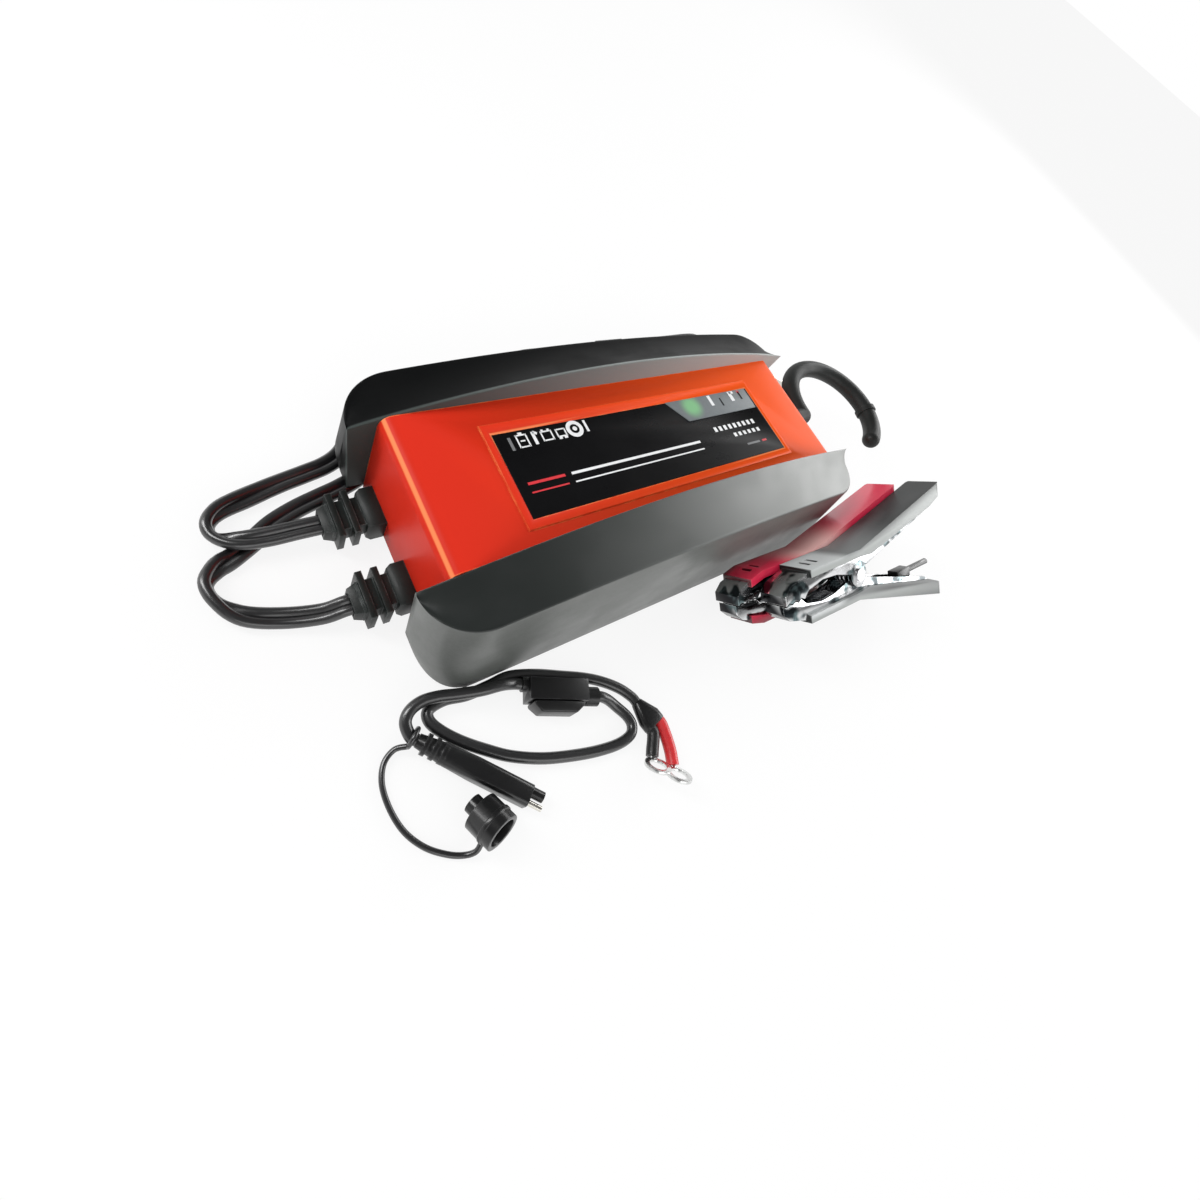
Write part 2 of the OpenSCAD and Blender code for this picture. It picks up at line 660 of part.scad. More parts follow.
module ac_plug_blades() {
  color([0.75, 0.72, 0.6]) translate(plug_at) rotate([0, 0, plug_turn])
    for (s = [-1, 1]) difference() {
      mid_box(23 + 7.9, s * 6.35, -3.2, 15.8, 1.5, 6.4);
      translate([23 + 12.6, s * 6.35 - 2, 0]) rotate([-90, 0, 0]) cylinder(h = 4, d = 3);
    }
}
dc_plug_at = [-56.5, 52.8, 3.4];
module dc_connector() {
  color([0.06, 0.06, 0.06]) translate(dc_plug_at) quick_body();
}
module dc_connector_pin() {
  color([0.75, 0.72, 0.6]) translate(dc_plug_at) quick_pin();
}

// ---- two-pole quick plug, drawn along +X from its cable end ---------------
quick_l = 38;
module quick_body() {
  difference() {
    union() {
      hull() {
        translate([0, 0, 0]) rotate([0, 90, 0]) cylinder(h = 1, r = 1.9, $fn = 24);
        translate([9, 0, 0]) rotate([0, 90, 0]) cylinder(h = 2, r = 3, $fn = 24);
      }
      for (x = [2, 4.6, 7.2]) translate([x, 0, 0]) rotate([0, 90, 0]) cylinder(h = 1.2, r = 3, $fn = 32);
      hull() {
        translate([10, 0, 0]) rotate([0, 90, 0]) cylinder(h = 1, r = 3, $fn = 24);
        for (s = [-1, 1], t = [-1, 1]) translate([17, s * 1.5, t * 1.5]) rotate([0, 90, 0])
          cylinder(h = quick_l - 21, r = 1.5, $fn = 24);
      }
      translate([quick_l - 5, 1.4, 0]) rotate([0, 90, 0]) cylinder(h = 5, r = 1.5, $fn = 32);
    }
    translate([quick_l - 4, 1.4, 0]) rotate([0, 90, 0]) cylinder(h = 5, r = 0.85, $fn = 24);
  }
}
module quick_pin() {
  translate([quick_l - 4, -1.4, 0]) rotate([0, 90, 0]) cylinder(h = 4.6, r = 0.8, $fn = 24);
}

// ---- clamps: jaws along -X, middle plane z = 0, pin along Y --------------
pivot_x = 0.42 * clamp_l;
back_z = 8.6;
end_z = handle_h;
cheek = 7;
lower_w = clamp_w - 2 * sheet_t - 0.6;
ear_r = 4.6;
nose_z = 3.4;
handle_r = 3;
red_cover_from = 6;
black_cover_from = 12.5;
tooth_gap = 0.15;
function back_line(g) = [
  [0 - g, nose_z], [3, nose_z + 2.8 + g], [12, back_z + g], [pivot_x, back_z + g], [clamp_l, end_z + g]
];
module jaw_outline() {
  polygon([
    [0, tooth_gap], [1.6, tooth_gap + 0.9], [3.2, tooth_gap], [4.8, tooth_gap + 0.9], [6.4, tooth_gap],
    [8, tooth_gap + 0.9], [9.6, tooth_gap], [12, 2.6], [20, 4.2], [28, 3.6], [pivot_x - 5, 1.4],
    [pivot_x + 6, 3], [clamp_l - 10, end_z - cheek - 2], [clamp_l - 4, end_z - 3.4], [clamp_l, end_z],
    [pivot_x, back_z], [12, back_z], [3, nose_z + 2.8], [0, nose_z]
  ]);
  translate([pivot_x, 0]) circle(ear_r);
}
module under_outline(g) {
  polygon(concat([for (p = back_line(-g)) p], [[clamp_l + 1, -20], [-2, -20]]));
}
module jaw_channel(w) {
  difference() {
    along_y(w) jaw_outline();
    along_y(w - 2 * sheet_t) difference() {
      under_outline(sheet_t);
      translate([-1, -20]) square([4, 40]);
    }
    translate([pivot_x, 0, 0]) rotate([90, 0, 0]) cylinder(h = 2 * w, d = pin_d + 0.1, center = true);
  }
}
// plastic cover over the back of a jaw and its handle
module grip_outline() {
  polygon(concat(
    [for (p = back_line(cover_t)) p],
    [[clamp_l + 1.2, end_z - 1], [clamp_l - 1, end_z - 4.6], [clamp_l - 8, end_z - 7.4],
      [pivot_x + 7, 6.4], [pivot_x, 7], [13, 7], [6, 5.4], [0, 2.4]]
  ));
}
// the handle's end is rounded off as seen from above
module handle_plan(w) {
  long = clamp_l + 1.2;
  translate([-2, -w / 2, -1]) cube([long - handle_r + 2, w, 40]);
  translate([long - handle_r - 1, handle_r - w / 2, -1]) cube([handle_r + 1, w - 2 * handle_r, 40]);
  for (s = [-1, 1]) translate([long - handle_r, s * (w / 2 - handle_r), -1])
    cylinder(h = 40, r = handle_r, $fn = 48);
}
module grip_shell(w, from) {
  intersection() {
    difference() {
      along_y(w + 2 * cover_t) grip_outline();
      along_y(w) under_outline(0);
      translate([-3, -w, -2]) cube([from + 3, 2 * w, 20]);
      // two slots over the jaw, where its tabs are clenched
      for (x = [5, 9]) mid_box(from + x, 0, 6, 1.4, 5, 8);
    }
    handle_plan(w + 2 * cover_t);
  }
}
// torsion spring: its coils lie round the pin and its legs press the two handles apart
coil_r = 3.1;
wire_d = 1;
turns = 2.5;
coil_steps = 22;
coil_half = lower_w / 2 - sheet_t - wire_d / 2 - 0.2;
leg_l = 20;
leg_z = back_z + leg_l * (end_z - back_z) / (clamp_l - pivot_x) - 1.3 * sheet_t - wire_d / 2;
spring_path = concat(
  [[pivot_x + leg_l, -coil_half, leg_z], [pivot_x + leg_l / 3, -coil_half, coil_r + 1.6]],
  [for (i = [0:coil_steps])
    let (a = 90 + 360 * turns * i / coil_steps)
    [pivot_x + coil_r * cos(a), coil_half * (2 * i / coil_steps - 1), coil_r * sin(a)]],
  [[pivot_x + leg_l / 3, coil_half, -coil_r - 1.6], [pivot_x + leg_l, coil_half, -leg_z]]
);
// ring around a wire that turns in the X-Z plane
function wire_ring(q, i, d, n) =
  let (
    t = heading(q, i),
    side = unit(cross(t, [0, 1, 0])),
    up = cross(side, t)
  )
  [for (k = [0:n - 1]) q[i] + (side * cos(k * 360 / n) + up * sin(k * 360 / n)) * d / 2];
spring_rings = [for (i = [0:len(spring_path) - 1]) wire_ring(spring_path, i, wire_d, 6)];
echo(spring_gap = least_gap(spring_rings, 5, 6));
module clamp_spring() {
  n = 6;
  m = len(spring_rings);
  sides = [for (i = [0:m - 2], k = [0:n - 1])
    [i * n + k, i * n + (k + 1) % n, (i + 1) * n + (k + 1) % n, (i + 1) * n + k]];
  first = [for (k = [n - 1:-1:0]) k];
  last = [for (k = [0:n - 1]) (m - 1) * n + k];
  points = [for (r = spring_rings) each r];
  polyhedron(points = points, faces = concat(sides, [first, last]), convexity = 10);
}
module clamp_pin() {
  translate([pivot_x, 0, 0]) rotate([90, 0, 0]) {
    cylinder(h = clamp_w + 0.2, d = pin_d, center = true);
    for (s = [-1, 1]) translate([0, 0, s * (clamp_w / 2 + 0.4)])
      cylinder(h = 0.8, d = pin_d + 1.6, center = true);
  }
}
clamp_tilt = [-57, -1.5, -2.5];
// the clamps lean beside the near rail's nose, so they are placed from it
clamp_beyond = 4.03;
red_at = [rail_l / 2 - clamp_beyond - 0.765 * clamp_l, -wall_y - 11.8, 15.6];
stack_step = [8, -(clamp_w + 2 * cover_t + 0.5), 0];
module place_red() {
  translate(red_at) rotate(clamp_tilt) children();
}
module place_black() {
  translate(red_at) rotate(clamp_tilt) translate(stack_step) children();
}
module upper_jaw() { jaw_channel(clamp_w); }
module lower_jaw() { mirror([0, 0, 1]) jaw_channel(lower_w); }
module upper_grip(from) { grip_shell(clamp_w, from); }
module lower_grip(from) { mirror([0, 0, 1]) grip_shell(lower_w, from); }
module red_upper_jaw() { color([0.8, 0.8, 0.82]) place_red() upper_jaw(); }
module red_lower_jaw() { color([0.8, 0.8, 0.82]) place_red() lower_jaw(); }
module red_pivot_pin() { color([0.7, 0.7, 0.72]) place_red() clamp_pin(); }
module red_spring() { color([0.6, 0.6, 0.62]) place_red() clamp_spring(); }
module red_upper_cover() { color([0.85, 0.1, 0.2]) place_red() upper_grip(red_cover_from); }
module red_lower_cover() { color([0.85, 0.1, 0.2]) place_red() lower_grip(red_cover_from); }
module black_upper_jaw() { color([0.8, 0.8, 0.82]) place_black() upper_jaw(); }
module black_lower_jaw() { color([0.8, 0.8, 0.82]) place_black() lower_jaw(); }
module black_pivot_pin() { color([0.7, 0.7, 0.72]) place_black() clamp_pin(); }
module black_spring() { color([0.6, 0.6, 0.62]) place_black() clamp_spring(); }
module black_upper_cover() { color([0.4, 0.42, 0.42]) place_black() upper_grip(black_cover_from); }
module black_lower_cover() { color([0.35, 0.36, 0.36]) place_black() lower_grip(black_cover_from); }
module clamp_wire_crimp() {
  color([0.05, 0.05, 0.05]) place_black() {
    translate([clamp_l - 22, 0, -end_z + 11]) {
      mid_box(0, 0, 0, 9, 4.4, 4);
      translate([4, 0, 2]) rotate([0, 90, 0]) cylinder(h = 16, d = 2.4);
    }
  }
}

// ---- ring-terminal harness ------------------------------------------------
tail_points = [
  [-96.6, -53.9, 3.3, 0],
  [-97.9, -52.3, 3.35, 0],
  [-98, -48.6, 3.9, 0],
  [-96, -46.2, 4.5, 0],
  [-92.4, -45.2, 5, 0],
  [-88, -45.8, 5.3, 0],
  [-82.5, -47.5, 5.4, 0],
  [-76, -49.2, 5.4, 0],
  [-70, -50.1, 5, 0],
  [-65.9, -51.1, 3.8, 0],
  [-63.8, -52.08, 3.8, 0]
];
loop_points = [
  [-43.02, -65.22, 3.8, 0],
  [-41.5, -65.94, 3.8, 0],
  [-39.4, -67.6, 2.9, 0],
  [-37.4, -70.4, 2, 0],
  [-35.3, -74.6, 1.8, 0],
  [-35.2, -77.8, 1.8, 0],
  [-37.4, -80, 1.8, 0],
  [-42.6, -80.4, 1.8, 0],
  [-50.5, -78.9, 1.8, 0],
  [-59.1, -76.2, 1.8, 0],
  [-67, -73, 1.8, 0],
  [-74.7, -68.6, 1.8, 0],
  [-80.3, -64.1, 1.8, 0],
  [-85.6, -59.2, 1.8, 0],
  [-89.6, -54.4, 1.8, 0],
  [-91.6, -50.4, 1.8, 0],
  [-90.6, -47.6, 1.8, 0],
  [-85.6, -46.9, 1.8, 0],
  [-79.4, -48.2, 1.8, 0],
  [-72.4, -48.3, 1.8, 0],
  [-65.7, -48.2, 1.8, 0],
  [-58.1, -50.7, 1.8, 0],
  [-50.5, -54.4, 1.8, 0],
  [-43, -58.3, 1.8, 0],
  [-37.6, -62, 1.8, 0],
  [-33.2, -66.2, 1.8, 0],
  [-30.6, -70.2, 1.8, 0],
  [-30, -72.2, 1.8, 0]
];
module harness_tail() {
  color([0.05, 0.05, 0.05]) sweep(spline(tail_points, 3), round_section(harness_d, 8));
}
module harness_loop() {
  color([0.05, 0.05, 0.05]) sweep(spline(loop_points, 3), round_section(harness_d, 8));
}
fork_at = [-30, -72.2, 1.8];
fork_turn = -76;
fork_l = 9;
sleeve_d = 4;
sleeve_gap = sleeve_d / 2 + 0.05;
sleeve_z = sleeve_d / 2 + 0.2 - fork_at[2];
red_end = [21.4, -4];
black_end = [14.9, -7.7];
ring_turn = -47;
ring_rise = 50;
module at_fork() {
  translate(fork_at) rotate([0, 0, fork_turn]) children();
}
module harness_fork() {
  color([0.06, 0.06, 0.06]) at_fork() hull() {
    rotate([0, 90, 0]) cylinder(h = 2, d = harness_d + 0.2, $fn = 24);
    for (s = [-1, 1]) translate([fork_l - 3, s * sleeve_gap, sleeve_z]) rotate([0, 90, 0])
      cylinder(h = 3, d = sleeve_d + 0.3, $fn = 24);
  }
}
// sleeve over one core, from the fork to the barrel of its ring terminal
module sleeve(p) {
  at_fork() sweep(spline([for (q = p) [q[0], q[1], sleeve_z, 0]], 3), round_section(sleeve_d, 8));
}
module red_sleeve() {
  color([0.85, 0.15, 0.15])
    sleeve([[fork_l, sleeve_gap], [10.4, 2], [13, 1], [16, -0.4], [18.6, -1.9], red_end]);
}
module black_sleeve() {
  color([0.04, 0.04, 0.04]) sleeve([[fork_l, -sleeve_gap], [10.4, -2.3], [12, -4], [13.5, -6], black_end]);
}
// ring terminal: its barrel lies level in the sleeve's end, and its plate is bent up
module ring_terminal() {
  plate_t = 0.9;
  ring_r = 4.2;
  ring_x = ring_r + 0.4;
  rotate([0, 90, 0]) cylinder(h = 1.4, r = 1.25);
  translate([0.4, 0, 0]) rotate([0, -ring_rise, 0]) difference() {
    union() {
      translate([ring_x, 0, -plate_t / 2]) cylinder(h = plate_t, r = ring_r);
      mid_box(1.1, 0, -plate_t / 2, 2.2, 2.4, plate_t);
    }
    translate([ring_x, 0, -1]) cylinder(h = 2, r = 2.7);
  }
}
module ring_terminals() {
  color([0.78, 0.78, 0.78]) at_fork() for (p = [red_end, black_end])
    translate([p[0], p[1], sleeve_z]) rotate([0, 0, ring_turn]) ring_terminal();
}
holder_turn = -25.3;
holder_mid = [-54.6, -59.3, 0];
module at_holder() {
  translate(holder_mid) rotate([0, 0, holder_turn]) children();
}
module fuse_holder() {
  color([0.06, 0.06, 0.06]) at_holder() difference() {
    union() {
      mid_box(-0.4, 0.8, 0.1, 18.6, 6.4, 7.4);
      translate([-11.4, 2.6, 3.8]) rotate([0, 90, 0]) cylinder(h = 3, r = 2.3, $fn = 32);
      translate([8.8, -0.4, 3.8]) rotate([0, 90, 0]) cylinder(h = 4.2, r = 2.9, $fn = 32);
    }
    mid_box(-0.4, -2.2, 1.6, 13.4, 4.4, 4.4);
  }
}
module fuse_cap() {
  color([0.07, 0.07, 0.07]) at_holder() {
    hull() {
      mid_box(-0.4, -3.1, 0.1, 16, 1, 7.4);
      mid_box(-0.4, -5.4, 0.6, 11, 1, 6.4);
    }
    mid_box(-0.4, -2.5, 1.7, 13.2, 2.6, 4.2);
  }
}
quick_turn = -50.7;
quick_at = [-96.6, -53.9, 3.3];
module quick_plug() {
  color([0.06, 0.06, 0.06]) translate(quick_at) rotate([0, 0, quick_turn]) quick_body();
}
module quick_plug_pin() {
  color([0.75, 0.72, 0.6]) translate(quick_at) rotate([0, 0, quick_turn]) quick_pin();
}
// the cap rests on its narrow end and is held up by its tether
cap_turn = -74;
cap_rise = 24;
cap_at = [-89.6, -74.4, 3.7];
cap_r = 5.2;
module plug_cap() {
  color([0.05, 0.05, 0.05]) translate(cap_at) rotate([0, 90 - cap_rise, cap_turn]) difference() {
    union() {
      cylinder(h = 4, r = cap_r / 2);
      translate([0, 0, 3]) cylinder(h = 8.4, r = cap_r);
      translate([0, 0, 7.6]) cylinder(h = 1.2, r = cap_r + 0.3);
    }
    translate([0, 0, 4.6]) cylinder(h = 8, r = cap_r - 1.3);
  }
}
tether_ring_r = 2.5;
tether_ring_at = [-97.35, -52.85, 3.35];
tether_points = [
  [-99.4, -54.2, 2.9, 0],
  [-102.4, -53.4, 1.5, 0],
  [-105.8, -55.4, 0.9, 0],
  [-107.9, -60, 0.9, 0],
  [-108.1, -66.4, 0.9, 0],
  [-106.7, -72.8, 0.9, 0],
  [-103.5, -78.3, 0.9, 0],
  [-99.2, -82.4, 0.9, 0],
  [-95.6, -84.6, 1.2, 0],
  [-93, -85.2, 2.7, 0],
  [-91.4, -84.1, 4, 0]
];
module cap_tether() {
  color([0.05, 0.05, 0.05]) {
    sweep(spline(tether_points, 3), round_section(tether_d, 8));
    translate(tether_ring_at) rotate([0, 90, quick_turn]) rotate_extrude()
      translate([tether_ring_r, 0]) circle(d = tether_d - 0.2, $fn = 16);
  }
}

top_cover();
base_cover();
near_rail();
far_rail();
label_panel();
indicator_window();
cover_seal();
circuit_board();
transformer_core();
transformer_winding();
capacitors();
heatsink();
power_transistors();
indicator_leds();
light_guides();
board_screws();
cover_screws();
rail_screws();
feet();
board_fuse();
lead_terminals();
inner_leads();
ac_strain_relief();
dc_strain_relief();
hook();
hook_bush();
hook_clip();
ac_cord();
ac_cord_hank();
ac_cord_tie();
ac_plug();
ac_plug_blades();
dc_cord();
dc_connector();
dc_connector_pin();
red_upper_jaw();
red_lower_jaw();
red_pivot_pin();
red_spring();
red_upper_cover();
red_lower_cover();
black_upper_jaw();
black_lower_jaw();
black_pivot_pin();
black_spring();
black_upper_cover();
black_lower_cover();
clamp_wire_crimp();
harness_tail();
harness_loop();
harness_fork();
fuse_holder();
fuse_cap();
quick_plug();
quick_plug_pin();
plug_cap();
cap_tether();
ring_terminals();
red_sleeve();
black_sleeve();
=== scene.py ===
"""Looks of the small car battery charger, its clamps and its ring-terminal harness."""

import json
import math

import bmesh
import bpy
from mathutils import Euler, Matrix, Vector


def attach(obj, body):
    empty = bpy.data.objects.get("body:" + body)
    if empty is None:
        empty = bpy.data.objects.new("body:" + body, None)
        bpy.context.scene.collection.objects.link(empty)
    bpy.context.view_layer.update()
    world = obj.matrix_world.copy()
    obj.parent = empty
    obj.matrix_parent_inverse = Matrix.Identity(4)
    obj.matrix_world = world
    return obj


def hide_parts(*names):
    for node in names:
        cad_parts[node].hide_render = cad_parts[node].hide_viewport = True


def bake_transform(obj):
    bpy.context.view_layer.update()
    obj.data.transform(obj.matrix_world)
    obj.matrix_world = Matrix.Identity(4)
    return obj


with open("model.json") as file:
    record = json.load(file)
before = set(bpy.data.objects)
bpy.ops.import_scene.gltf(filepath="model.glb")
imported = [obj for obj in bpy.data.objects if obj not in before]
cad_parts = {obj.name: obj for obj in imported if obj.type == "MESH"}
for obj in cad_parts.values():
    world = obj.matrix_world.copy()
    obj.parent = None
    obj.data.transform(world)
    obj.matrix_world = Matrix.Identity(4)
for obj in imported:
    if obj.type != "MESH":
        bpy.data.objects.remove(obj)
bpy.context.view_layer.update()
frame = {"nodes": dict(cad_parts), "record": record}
NODES = frame["nodes"]
BODY_OF = {n: b for b, ns in frame["record"]["behaviour"]["bodies"].items() for n in ns}
MM = 0.001
BASE = "charger"


# ---- camera -----------------------------------------------------------------
def aim_camera():
    cam = bpy.data.objects.new("camera", bpy.data.cameras.new("camera"))
    right = Vector((0.78541, -0.45816, 0.41620))
    down = Vector((-0.22535, -0.83790, -0.49713))
    forward = Vector((0.57650, 0.29666, -0.76134))
    turn = Matrix((right, -down, -forward)).transposed().to_4x4()
    cam.matrix_world = Matrix.Translation(Vector((-137.98, -70.96, 179.23)) * MM) @ turn
    cam.data.sensor_width = 36
    cam.data.lens = 18.387
    cam.data.shift_y = -0.08333
    cam.data.clip_start, cam.data.clip_end = 0.01, 20
    bpy.context.scene.collection.objects.link(cam)
    bpy.context.scene.camera = cam


aim_camera()


# ---- node helpers for materials ----------------------------------------------
def shade_node(tree, kind, **settings):
    node = tree.nodes.new(kind)
    for key, value in settings.items():
        setattr(node, key, value)
    return node


def wire(tree, source, target):
    tree.links.new(source, target)


def new_group(name, ins, outs):
    tree = bpy.data.node_groups.new(name, "ShaderNodeTree")
    for label, kind, value in ins:
        socket = tree.interface.new_socket(label, in_out="INPUT", socket_type=kind)
        socket.default_value = value
    for label, kind in outs:
        tree.interface.new_socket(label, in_out="OUTPUT", socket_type=kind)
    return tree, tree.nodes.new("NodeGroupInput"), tree.nodes.new("NodeGroupOutput")


def math_node(tree, operation, a, b=None, clamp=False):
    node = shade_node(tree, "ShaderNodeMath", operation=operation, use_clamp=clamp)
    for index, value in enumerate((a, b)):
        if value is None:
            continue
        if isinstance(value, (int, float)):
            node.inputs[index].default_value = value
        else:
            wire(tree, value, node.inputs[index])
    return node.outputs[0]


def object_place(tree):
    return tree.nodes.new("ShaderNodeTexCoord").outputs["Object"]


def place_axis(tree, axis):
    """Where the surface lies along the axis, in metres."""
    split = tree.nodes.new("ShaderNodeSeparateXYZ")
    wire(tree, object_place(tree), split.inputs[0])
    return split.outputs[axis]


def facing(tree, axis):
    """How far the surface faces along the axis, from -1 to 1."""
    split = tree.nodes.new("ShaderNodeSeparateXYZ")
    wire(tree, tree.nodes.new("ShaderNodeTexCoord").outputs["Normal"], split.inputs[0])
    return split.outputs[axis]


def noise_node(tree, scale, detail=2.0, stretch=None):
    """Noise on object coordinates; scale is per metre."""
    source = object_place(tree)
    if stretch:
        mapping = tree.nodes.new("ShaderNodeMapping")
        mapping.inputs["Scale"].default_value = stretch
        wire(tree, source, mapping.inputs["Vector"])
        source = mapping.outputs["Vector"]
    noise = tree.nodes.new("ShaderNodeTexNoise")
    wire(tree, source, noise.inputs["Vector"])
    if isinstance(scale, (int, float)):
        noise.inputs["Scale"].default_value = scale
    else:
        wire(tree, scale, noise.inputs["Scale"])
    noise.inputs["Detail"].default_value = detail
    return noise.outputs["Fac"]


def ramp_value(tree, value, low, high, to_low=0.0, to_high=1.0, smooth=True):
    node = shade_node(tree, "ShaderNodeMapRange", interpolation_type="SMOOTHSTEP" if smooth else "LINEAR")
    for label, number in (("From Min", low), ("From Max", high), ("To Min", to_low), ("To Max", to_high)):
        if isinstance(number, (int, float)):
            node.inputs[label].default_value = number
        else:
            wire(tree, number, node.inputs[label])
    wire(tree, value, node.inputs["Value"])
    return node.outputs["Result"]


def mix_colours(tree, factor, a, b):
    node = shade_node(tree, "ShaderNodeMix", data_type="RGBA")
    for socket, value in ((node.inputs[0], factor), (node.inputs[6], a), (node.inputs[7], b)):
        if isinstance(value, (int, float)):
            socket.default_value = value
        elif isinstance(value, tuple):
            socket.default_value = (*value, 1)
        else:
            wire(tree, value, socket)
    return node.outputs[2]


def make_tone_group():
    """Slow and fine changes of a moulded part's colour."""
    tree, given, out = new_group(
        "moulded_tone",
        [("Color", "NodeSocketColor", (0.5, 0.5, 0.5, 1)), ("Amount", "NodeSocketFloat", 0.06)],
        [("Color", "NodeSocketColor")],
    )
    broad = ramp_value(tree, noise_node(tree, 28, 3), 0.3, 0.7, -1, 1)
    fine = ramp_value(tree, noise_node(tree, 900, 2), 0.35, 0.65, -0.5, 0.5)
    both = math_node(tree, "ADD", broad, fine)
    gain = math_node(tree, "ADD", math_node(tree, "MULTIPLY", both, given.outputs["Amount"]), 1.0)
    scaled = shade_node(tree, "ShaderNodeVectorMath", operation="SCALE")
    wire(tree, given.outputs["Color"], scaled.inputs[0])
    wire(tree, gain, scaled.inputs["Scale"])
    wire(tree, scaled.outputs[0], out.inputs["Color"])
    return tree


def make_grain_group():
    """Fine spark-eroded grain, with uneven gloss."""
    tree, given, out = new_group(
        "moulded_grain",
        [
            ("Size", "NodeSocketFloat", 1400), ("Rough", "NodeSocketFloat", 0.4),
            ("Spread", "NodeSocketFloat", 0.1),
        ],
        [("Height", "NodeSocketFloat"), ("Roughness", "NodeSocketFloat")],
    )
    grain = noise_node(tree, given.outputs["Size"], 3)
    wire(tree, grain, out.inputs["Height"])
    handled = ramp_value(tree, noise_node(tree, 45, 4), 0.35, 0.65, -1, 1)
    streak = ramp_value(tree, noise_node(tree, 160, 2, stretch=(0.3, 2.2, 1.6)), 0.3, 0.75, -0.25, 0.25)
    both = math_node(tree, "ADD", handled, streak)
    spread = math_node(tree, "MULTIPLY", both, given.outputs["Spread"])
    wire(tree, math_node(tree, "ADD", given.outputs["Rough"], spread, clamp=True), out.inputs["Roughness"])
    return tree


def make_edge_group():
    """Mask of outer edges, broken up by noise: rubbed edge wear, and on the housing a painted highlight along
    the pad's edges.
    """
    tree, given, out = new_group(
        "edge_wear_and_highlight",
        [("Radius", "NodeSocketFloat", 0.0006), ("Strength", "NodeSocketFloat", 0.5)],
        [("Mask", "NodeSocketFloat")],
    )
    bevel = shade_node(tree, "ShaderNodeBevel", samples=4)
    wire(tree, given.outputs["Radius"], bevel.inputs["Radius"])
    geometry = tree.nodes.new("ShaderNodeNewGeometry")
    dot = shade_node(tree, "ShaderNodeVectorMath", operation="DOT_PRODUCT")
    wire(tree, bevel.outputs[0], dot.inputs[0])
    wire(tree, geometry.outputs["Normal"], dot.inputs[1])
    edge = ramp_value(tree, dot.outputs["Value"], 0.995, 0.88, 0, 1)
    patches = ramp_value(tree, noise_node(tree, 220, 3), 0.4, 0.62, 0.25, 1)
    wear_and_painted_highlight = math_node(tree, "MULTIPLY", math_node(tree, "MULTIPLY", edge, patches), given.outputs["Strength"])
    wire(tree, wear_and_painted_highlight, out.inputs["Mask"])
    return tree


def make_brushed_group():
    """Fine drawn lines and a little stain for bare metal."""
    tree, given, out = new_group(
        "drawn_metal",
        [("Color", "NodeSocketColor", (0.7, 0.7, 0.7, 1)), ("Rough", "NodeSocketFloat", 0.25)],
        [("Color", "NodeSocketColor"), ("Roughness", "NodeSocketFloat"), ("Height", "NodeSocketFloat")],
    )
    lines = noise_node(tree, 900, 2, stretch=(0.12, 1.5, 1.5))
    stain = ramp_value(tree, noise_node(tree, 120, 4), 0.4, 0.7, 0, 1)
    dark = shade_node(tree, "ShaderNodeVectorMath", operation="SCALE")
    wire(tree, given.outputs["Color"], dark.inputs[0])
    dark.inputs["Scale"].default_value = 0.72
    stained = math_node(tree, "MULTIPLY", stain, 0.5)
    wire(tree, mix_colours(tree, stained, given.outputs["Color"], dark.outputs[0]), out.inputs["Color"])
    drawn = math_node(tree, "MULTIPLY", ramp_value(tree, lines, 0.3, 0.7, -1, 1), 0.07)
    rough = math_node(tree, "ADD", drawn, given.outputs["Rough"])
    duller = math_node(tree, "MULTIPLY", stain, 0.1)
    wire(tree, math_node(tree, "ADD", rough, duller, clamp=True), out.inputs["Roughness"])
    wire(tree, lines, out.inputs["Height"])
    return tree


TONE = make_tone_group()
GRAIN = make_grain_group()
EDGES = make_edge_group()
DRAWN = make_brushed_group()


def put_group(tree, group, **values):
    node = shade_node(tree, "ShaderNodeGroup", node_tree=group)
    for label, value in values.items():
        if isinstance(value, tuple):
            node.inputs[label].default_value = (*value, 1)
        elif isinstance(value, (int, float)):
            node.inputs[label].default_value = value
        else:
            wire(tree, value, node.inputs[label])
    return node


def start_material(name, colour):
    material = bpy.data.materials.new(name)
    material.use_nodes = True
    material.diffuse_color = (*colour, 1)
    tree = material.node_tree
    return material, tree, tree.nodes["Principled BSDF"]


def add_bump(tree, shader, height, distance):
    bump = tree.nodes.new("ShaderNodeBump")
    bump.inputs["Distance"].default_value = distance
    bump.inputs["Strength"].default_value = 1.0
    wire(tree, height, bump.inputs["Height"])
    wire(tree, bump.outputs["Normal"], shader.inputs["Normal"])


MOULDED_WEAR_AND_HIGHLIGHT_WIDTH, METAL_WEAR_WIDTH = 0.0006, 0.0004
METAL_GRAIN_DEPTH = 0.00001
COAT_ROUGHNESS = 0.12


